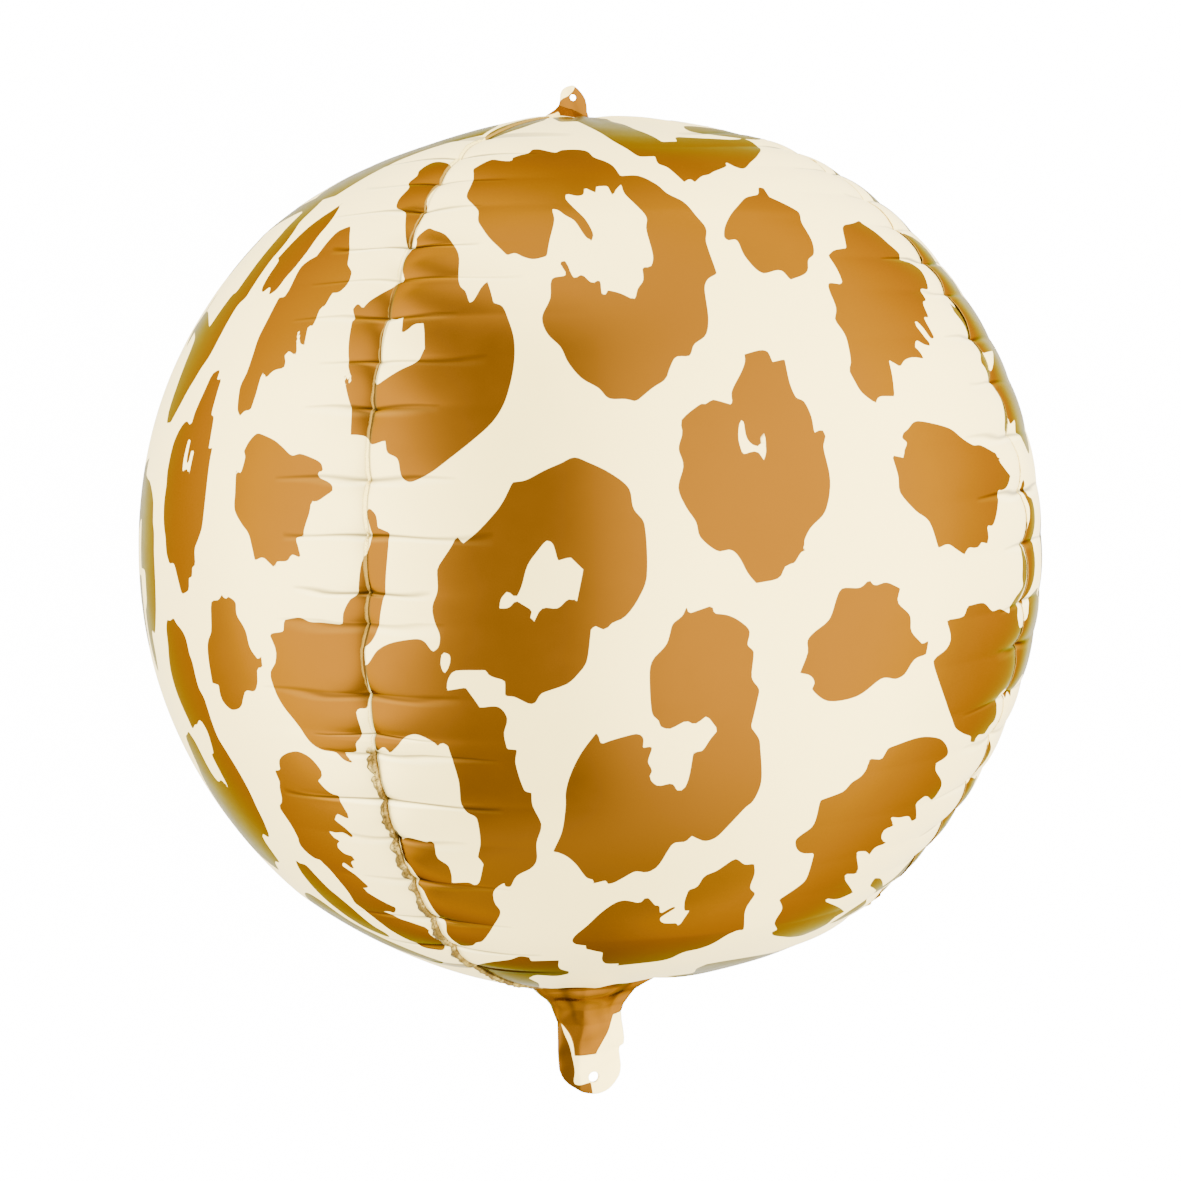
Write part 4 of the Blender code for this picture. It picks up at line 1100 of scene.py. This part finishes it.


def makeFilmGrainGroup():
    # soft tone drift and very fine ripple of stretched film
    group = bpy.data.node_groups.new("filmGrain", "ShaderNodeTree")
    for socket, kind in (("Vector", "NodeSocketVector"), ("Scale", "NodeSocketFloat")):
        group.interface.new_socket(socket, in_out="INPUT", socket_type=kind)
    for socket in ("Tone", "Ripple"):
        group.interface.new_socket(socket, in_out="OUTPUT", socket_type="NodeSocketFloat")
    nodes, links = group.nodes, group.links
    given, result = nodes.new("NodeGroupInput"), nodes.new("NodeGroupOutput")
    drift, ripple = nodes.new("ShaderNodeTexNoise"), nodes.new("ShaderNodeTexNoise")
    finer = nodes.new("ShaderNodeMath")
    finer.operation = "MULTIPLY"
    finer.inputs[1].default_value = grain["rippleTimes"]
    for noise, detail in ((drift, grain["driftDetail"]), (ripple, grain["rippleDetail"])):
        noise.inputs["Detail"].default_value = detail
        links.new(given.outputs["Vector"], noise.inputs["Vector"])
    links.new(given.outputs["Scale"], drift.inputs["Scale"])
    links.new(given.outputs["Scale"], finer.inputs[0])
    links.new(finer.outputs[0], ripple.inputs["Scale"])
    links.new(drift.outputs["Fac"], result.inputs["Tone"])
    links.new(ripple.outputs["Fac"], result.inputs["Ripple"])
    return group


def makeCreaseGroup():
    # sharp creases across the run of a seam, painted: a dark line of painted shade with a lighter band of
    # painted highlight below it
    group = bpy.data.node_groups.new("creaseLines", "ShaderNodeTree")
    for socket in ("Phase", "Fade", "Pitch"):
        group.interface.new_socket(socket, in_out="INPUT", socket_type="NodeSocketFloat")
    for socket in ("Dark", "Light"):
        group.interface.new_socket(socket, in_out="OUTPUT", socket_type="NodeSocketFloat")
    nodes, links = group.nodes, group.links
    given, result = nodes.new("NodeGroupInput"), nodes.new("NodeGroupOutput")

    def calculate(operation, first, second=None):
        step = nodes.new("ShaderNodeMath")
        step.operation = operation
        for socket, value in zip(step.inputs, (first, second)):
            if isinstance(value, float):
                socket.default_value = value
            elif value is not None:
                links.new(value, socket)
        return step.outputs[0]

    away = calculate("SUBTRACT", given.outputs["Phase"], calculate("ROUND", given.outputs["Phase"]))
    away = calculate("MULTIPLY", away, given.outputs["Pitch"])
    for socket, centre, reach in creaseBands:
        distance = calculate("ABSOLUTE", calculate("SUBTRACT", away, centre))
        band = nodes.new("ShaderNodeMapRange")
        band.interpolation_type = "SMOOTHSTEP"
        band.inputs["From Max"].default_value = reach
        band.inputs["To Min"].default_value = 1
        band.inputs["To Max"].default_value = 0
        links.new(distance, band.inputs["Value"])
        faded = calculate("MULTIPLY", band.outputs["Result"], given.outputs["Fade"])
        links.new(faded, result.inputs[socket])
    return group


def newMaterial(name):
    material = bpy.data.materials.new(name)
    material.use_nodes = True
    nodes, links = material.node_tree.nodes, material.node_tree.links
    return material, nodes, links, nodes["Principled BSDF"]


def mixColours(nodes, links, factor, low, high):
    mix = nodes.new("ShaderNodeMix")
    mix.data_type = "RGBA"
    links.new(factor, mix.inputs[0])
    for socket, value in ((mix.inputs[6], low), (mix.inputs[7], high)):
        if isinstance(value, tuple):
            socket.default_value = value
        else:
            links.new(value, socket)
    return mix.outputs[2]


def mapValue(nodes, links, value, fromLow, fromHigh, toLow, toHigh):
    change = nodes.new("ShaderNodeMapRange")
    sockets = ("From Min", "From Max", "To Min", "To Max")
    for socket, number in zip(sockets, (fromLow, fromHigh, toLow, toHigh)):
        change.inputs[socket].default_value = number
    links.new(value, change.inputs["Value"])
    return change.outputs["Result"]


def addGrain(nodes, links, shader, group, scale, strength):
    where, fine = nodes.new("ShaderNodeTexCoord"), nodes.new("ShaderNodeGroup")
    bump = nodes.new("ShaderNodeBump")
    fine.node_tree = group
    fine.inputs["Scale"].default_value = scale
    links.new(where.outputs["Object"], fine.inputs["Vector"])
    bump.inputs["Strength"].default_value = strength
    bump.inputs["Distance"].default_value = grain["bumpDistance"]
    links.new(fine.outputs["Ripple"], bump.inputs["Height"])
    links.new(bump.outputs["Normal"], shader.inputs["Normal"])
    return fine.outputs["Tone"], fine.outputs["Ripple"]


def readAttribute(nodes, name):
    read = nodes.new("ShaderNodeAttribute")
    read.attribute_name = name
    return read.outputs["Fac"]


def combine(nodes, links, operation, first, second):
    step = nodes.new("ShaderNodeMath")
    step.operation = operation
    step.use_clamp = True
    links.new(first, step.inputs[0])
    if isinstance(second, float):
        step.inputs[1].default_value = second
    else:
        links.new(second, step.inputs[1])
    return step.outputs[0]


def addCreases(nodes, links, group):
    # painted crease shade and highlight from both seams of a gore, added up
    sums = {}
    for label in ("start", "end"):
        lines = nodes.new("ShaderNodeGroup")
        lines.node_tree = group
        lines.inputs["Pitch"].default_value = film["creasePitch"]
        links.new(readAttribute(nodes, label + "Phase"), lines.inputs["Phase"])
        links.new(readAttribute(nodes, label + "Fade"), lines.inputs["Fade"])
        for socket in ("Dark", "Light"):
            found = lines.outputs[socket]
            sums[socket] = combine(nodes, links, "ADD", sums[socket], found) if socket in sums else found
    return sums["Dark"], sums["Light"]


def readPrint(nodes, links):
    # 0 on the cream ground, 1 on the spots
    soft = film["edgeSoftness"]
    return mapValue(nodes, links, readAttribute(nodes, "printEdge"), -soft, soft, 0, 1)


def lighten(colour, lightness):
    return (*(min(level * lightness, 1) for level in colour[:3]), 1)


def makePrintedFilm(name, group, creaseGroup, lightness):
    material, nodes, links, shader = newMaterial(name)
    tone, ripple = addGrain(nodes, links, shader, group, film["grainScale"], film["grainDepth"])
    spot = readPrint(nodes, links)
    drift = mapValue(nodes, links, tone, *film["drift"], 0, 1)
    cream, brown = (
        mixColours(nodes, links, drift, *(lighten(film[shade], lightness) for shade in (key + "Shade", key)))
        for key in ("cream", "brown"))
    creased = mixColours(nodes, links, spot, cream, brown)
    # painted shade in each crease and a painted highlight band just below it
    paintedShade, paintedHighlight = addCreases(nodes, links, creaseGroup)
    lightShare, darkShare = film["creaseShares"]
    for line, share, key in ((paintedHighlight, lightShare, "creasePaintedHighlight"), (paintedShade, darkShare, "creasePaintedShade")):
        colour = mixColours(nodes, links, spot, film[key], film[key + "Brown"])
        creased = mixColours(nodes, links, combine(nodes, links, "MULTIPLY", line, share), creased, colour)
    # painted shade close to each seam, in random patches
    near = mapValue(nodes, links, readAttribute(nodes, "seamNearness"), *film["seamGapShadeNear"], 0, 1)
    gapShadePatches = mapValue(nodes, links, tone, *film["seamGapShadeOpen"])
    seamGapShade = combine(nodes, links, "MULTIPLY", near, gapShadePatches)
    links.new(mixColours(nodes, links, seamGapShade, creased, film["seamGapShade"]), shader.inputs["Base Color"])
    links.new(mapValue(nodes, links, spot, 0, 1, *film["metallic"]), shader.inputs["Metallic"])
    worn = nodes.new("ShaderNodeMath")
    worn.operation = "ADD"
    links.new(mapValue(nodes, links, spot, 0, 1, *film["roughness"]), worn.inputs[0])
    wear = mapValue(nodes, links, ripple, *grain["rippleRange"], -film["wear"], film["wear"])
    links.new(wear, worn.inputs[1])
    links.new(worn.outputs[0], shader.inputs["Roughness"])
    tint = mixColours(nodes, links, spot, film["creamEdge"], film["brownEdge"])
    links.new(tint, shader.inputs["Specular Tint"])
    return material


def makeWeldedEdge(group):
    material, nodes, links, shader = newMaterial("weldedEdge")
    tone, ripple = addGrain(nodes, links, shader, group, weld["grainScale"], weld["grainDepth"])
    thin = mixColours(nodes, links, readPrint(nodes, links), weld["cream"], weld["gold"])
    # the crumpled roll: random patches of painted highlight on tan, painted shade in its wrinkles and along
    # both rims
    crumple = mapValue(nodes, links, tone, *weld["crumple"], 0, 1)
    crumpled = mixColours(nodes, links, crumple, weld["tan"], weld["paintedHighlight"])
    wrinkle = mapValue(nodes, links, ripple, *weld["wrinkle"])
    crumpled = mixColours(nodes, links, wrinkle, crumpled, weld["paintedShade"])
    across = readAttribute(nodes, "acrossWeld")
    foot, outer = (mapValue(nodes, links, across, *weld[key]) for key in ("footRim", "outerRim"))
    crumpled = mixColours(nodes, links, combine(nodes, links, "ADD", foot, outer), crumpled, weld["paintedShade"])
    colour = mixColours(nodes, links, readAttribute(nodes, "rope"), thin, crumpled)
    links.new(colour, shader.inputs["Base Color"])
    shader.inputs["Metallic"].default_value = weld["metallic"]
    shader.inputs["Specular Tint"].default_value = film["brownEdge"]
    gloss = mapValue(nodes, links, ripple, *grain["rippleRange"], *weld["roughness"])
    links.new(gloss, shader.inputs["Roughness"])
    return material


# Studio: pale floor, soft light from both sides and above, and the camera of the photograph
white = (1, 1, 1, 1)
studio = {
    "floorSize": 6.0,
    "floorLevel": -0.0006,
    "floorColour": (0.36, 0.36, 0.356, 1),
    "floorMottle": (3, 0.985),
    "floorRoughness": 0.9,
    "floorGlow": 6.0,  # painted light given off by the paper, as the film mirrors it, from left to right by the marks
    "glowAcross": [(-1, 0.85), (-0.6, 0.85), (-0.25, 0.6), (0, 0.3), (0.25, 0.8), (0.6, 1.0), (1, 1.0)],
    "farGlow": (-0.3, 0.3, -1.6, 0.6),  # and what is added from the neck's side to the tab's side
    "paintedFloorShadow": (0.23, 0.42),  # painted shadow: the paper's glow fades out close to the balloon
    "paperGlow": 14.0,  # as the eye sees the paper
    "worldStrength": 10.2,
    "across": [(-1, 1.0), (-0.8, 1.0), (-0.68, 0.88), (-0.56, 0.42), (-0.45, 0.31), (-0.05, 0.33),
               (0.1, 0.70), (0.35, 0.88), (0.7, 0.95), (1, 1.0)],
    "along": [(-1, 0.33), (-0.94, 0.42), (-0.86, 0.66), (-0.7, 0.85), (-0.5, 1.0), (0.5, 1.0), (0.8, 0.88),
              (1, 0.8)],
    "gap": [(-1, 0), (-0.93, 0), (-0.84, 1), (0.84, 1), (0.93, 0), (1, 0)],
}
view = {
    "place": (0.0, 0.0869, 1.12654),
    "aim": (0.0, -0.01865, 0.19709),
    "roll": -0.0176728,
    "lens": 62.82,
    "sensor": 36,
}


def makeFloor():
    deselectAll()
    bpy.ops.mesh.primitive_plane_add(size=studio["floorSize"], location=(0, 0, studio["floorLevel"]))
    floor = bpy.context.object
    floor.name = "studioFloor"
    material, nodes, links, shader = newMaterial("palePaper")
    where, noise = nodes.new("ShaderNodeTexCoord"), nodes.new("ShaderNodeTexNoise")
    scale, darker = studio["floorMottle"]
    noise.inputs["Scale"].default_value = scale
    links.new(where.outputs["Object"], noise.inputs["Vector"])
    paper = mixColours(
        nodes, links, noise.outputs["Fac"], lighten(studio["floorColour"], darker), studio["floorColour"])
    links.new(paper, shader.inputs["Base Color"])
    shader.inputs["Roughness"].default_value = studio["floorRoughness"]
    shader.inputs["Emission Color"].default_value = white
    links.new(makePaperGlow(nodes, links, where.outputs["Object"]), shader.inputs["Emission Strength"])
    floor.data.materials.append(material)


def makePaperGlow(nodes, links, place):
    # painted light: the paper glows brighter to the right and beyond the tab, with a painted shadow close to
    # the balloon, and burns out to white as it is seen directly
    seen, split, glow = (
        nodes.new(kind) for kind in ("ShaderNodeLightPath", "ShaderNodeSeparateXYZ", "ShaderNodeMix"))
    both, dimmed, away = (
        nodes.new(kind) for kind in ("ShaderNodeMath", "ShaderNodeMath", "ShaderNodeVectorMath"))
    dimmed.operation = "MULTIPLY"
    away.operation = "LENGTH"
    links.new(place, away.inputs[0])
    links.new(place, split.inputs[0])
    ramp = addRamp(nodes, links, split.outputs["X"], studio["glowAcross"])
    links.new(mapValue(nodes, links, ramp, 0, 1, 0, studio["floorGlow"]), both.inputs[0])
    links.new(mapValue(nodes, links, split.outputs["Y"], *studio["farGlow"]), both.inputs[1])
    links.new(both.outputs[0], dimmed.inputs[0])
    # painted shadow: the glow fades out close to the balloon
    clear = mapValue(nodes, links, away.outputs["Value"], *studio["paintedFloorShadow"], 0, 1)
    links.new(clear, dimmed.inputs[1])
    links.new(seen.outputs["Is Camera Ray"], glow.inputs[0])
    links.new(dimmed.outputs[0], glow.inputs[2])
    glow.inputs[3].default_value = studio["paperGlow"]
    return glow.outputs[0]


def addRamp(nodes, links, value, marks):
    # the marks go from -1 to 1, a ramp's own from 0 to 1
    ramp = nodes.new("ShaderNodeValToRGB")
    links.new(mapValue(nodes, links, value, -1, 1, 0, 1), ramp.inputs["Fac"])
    stops = ramp.color_ramp.elements
    for index, (mark, level) in enumerate(marks):
        place = (mark + 1) / 2
        stop = stops[index] if index < 2 else stops.new(place)
        stop.position = place
        stop.color = (level, level, level, 1)
    return ramp.outputs["Color"]


def makeWorld():
    # a white tent with a darker gap overhead and darker ends, so that the foil has something to mirror
    world = bpy.data.worlds.new("whiteTent")
    bpy.context.scene.world = world
    world.use_nodes = True
    nodes, links = world.node_tree.nodes, world.node_tree.links
    back = nodes["Background"]
    where, split = nodes.new("ShaderNodeTexCoord"), nodes.new("ShaderNodeSeparateXYZ")
    links.new(where.outputs["Generated"], split.inputs[0])
    across, along, gap = (
        addRamp(nodes, links, split.outputs[axis], studio[key])
        for key, axis in (("across", "X"), ("along", "Y"), ("gap", "Y")))
    both = nodes.new("ShaderNodeMix")
    both.data_type = "RGBA"
    both.blend_type = "MULTIPLY"
    both.inputs[0].default_value = 1
    links.new(mixColours(nodes, links, gap, white, across), both.inputs[6])
    links.new(along, both.inputs[7])
    seen = nodes.new("ShaderNodeLightPath")  # the eye sees a plain white room, the film mirrors its softboxes
    room = mixColours(nodes, links, seen.outputs["Is Camera Ray"], both.outputs[2], white)
    links.new(room, back.inputs["Color"])
    back.inputs["Strength"].default_value = studio["worldStrength"]


def makeCamera():
    data = bpy.data.cameras.new("photoCamera")
    data.lens = view["lens"]
    data.sensor_width = view["sensor"]
    obj = bpy.data.objects.new("photoCamera", data)
    bpy.context.scene.collection.objects.link(obj)
    forward = (Vector(view["aim"]) - Vector(view["place"])).normalized()
    right = forward.cross(Vector((0, 1, 0))).normalized()
    up = right.cross(forward)
    tilted = math.cos(view["roll"]) * right + math.sin(view["roll"]) * up
    raised = math.cos(view["roll"]) * up - math.sin(view["roll"]) * right
    turn = Matrix((tilted, raised, -forward)).transposed().to_4x4()
    obj.matrix_world = Matrix.Translation(Vector(view["place"])) @ turn
    bpy.context.scene.camera = obj


makeCamera()
makeWorld()
makeFloor()
print("studio ready")

grainGroup = makeFilmGrainGroup()
creaseGroup = makeCreaseGroup()
printedFilm = makePrintedFilm("printedFilm", grainGroup, creaseGroup, lightness=1.0)
# painted light: the neck is the same film, painted 8% lighter
neckFilmPaintedLighter = makePrintedFilm("neckFilmPaintedLighter", grainGroup, creaseGroup, lightness=1.08)
weldedEdge = makeWeldedEdge(grainGroup)
for number, goreName in enumerate(["frontGore", "rightGore", "backGore", "leftGore"]):
    makeGore(number, goreName, printedFilm)
print("four printed gores ready")

for number, flangeName in enumerate(["leftWeld", "rightWeld", "backRightWeld", "backLeftWeld"]):
    makeFlange(number, flangeName, weldedEdge)
print("weld flanges ready")

makeTab(printedFilm)
makeNeck(neckFilmPaintedLighter)
print("tab and neck ready")
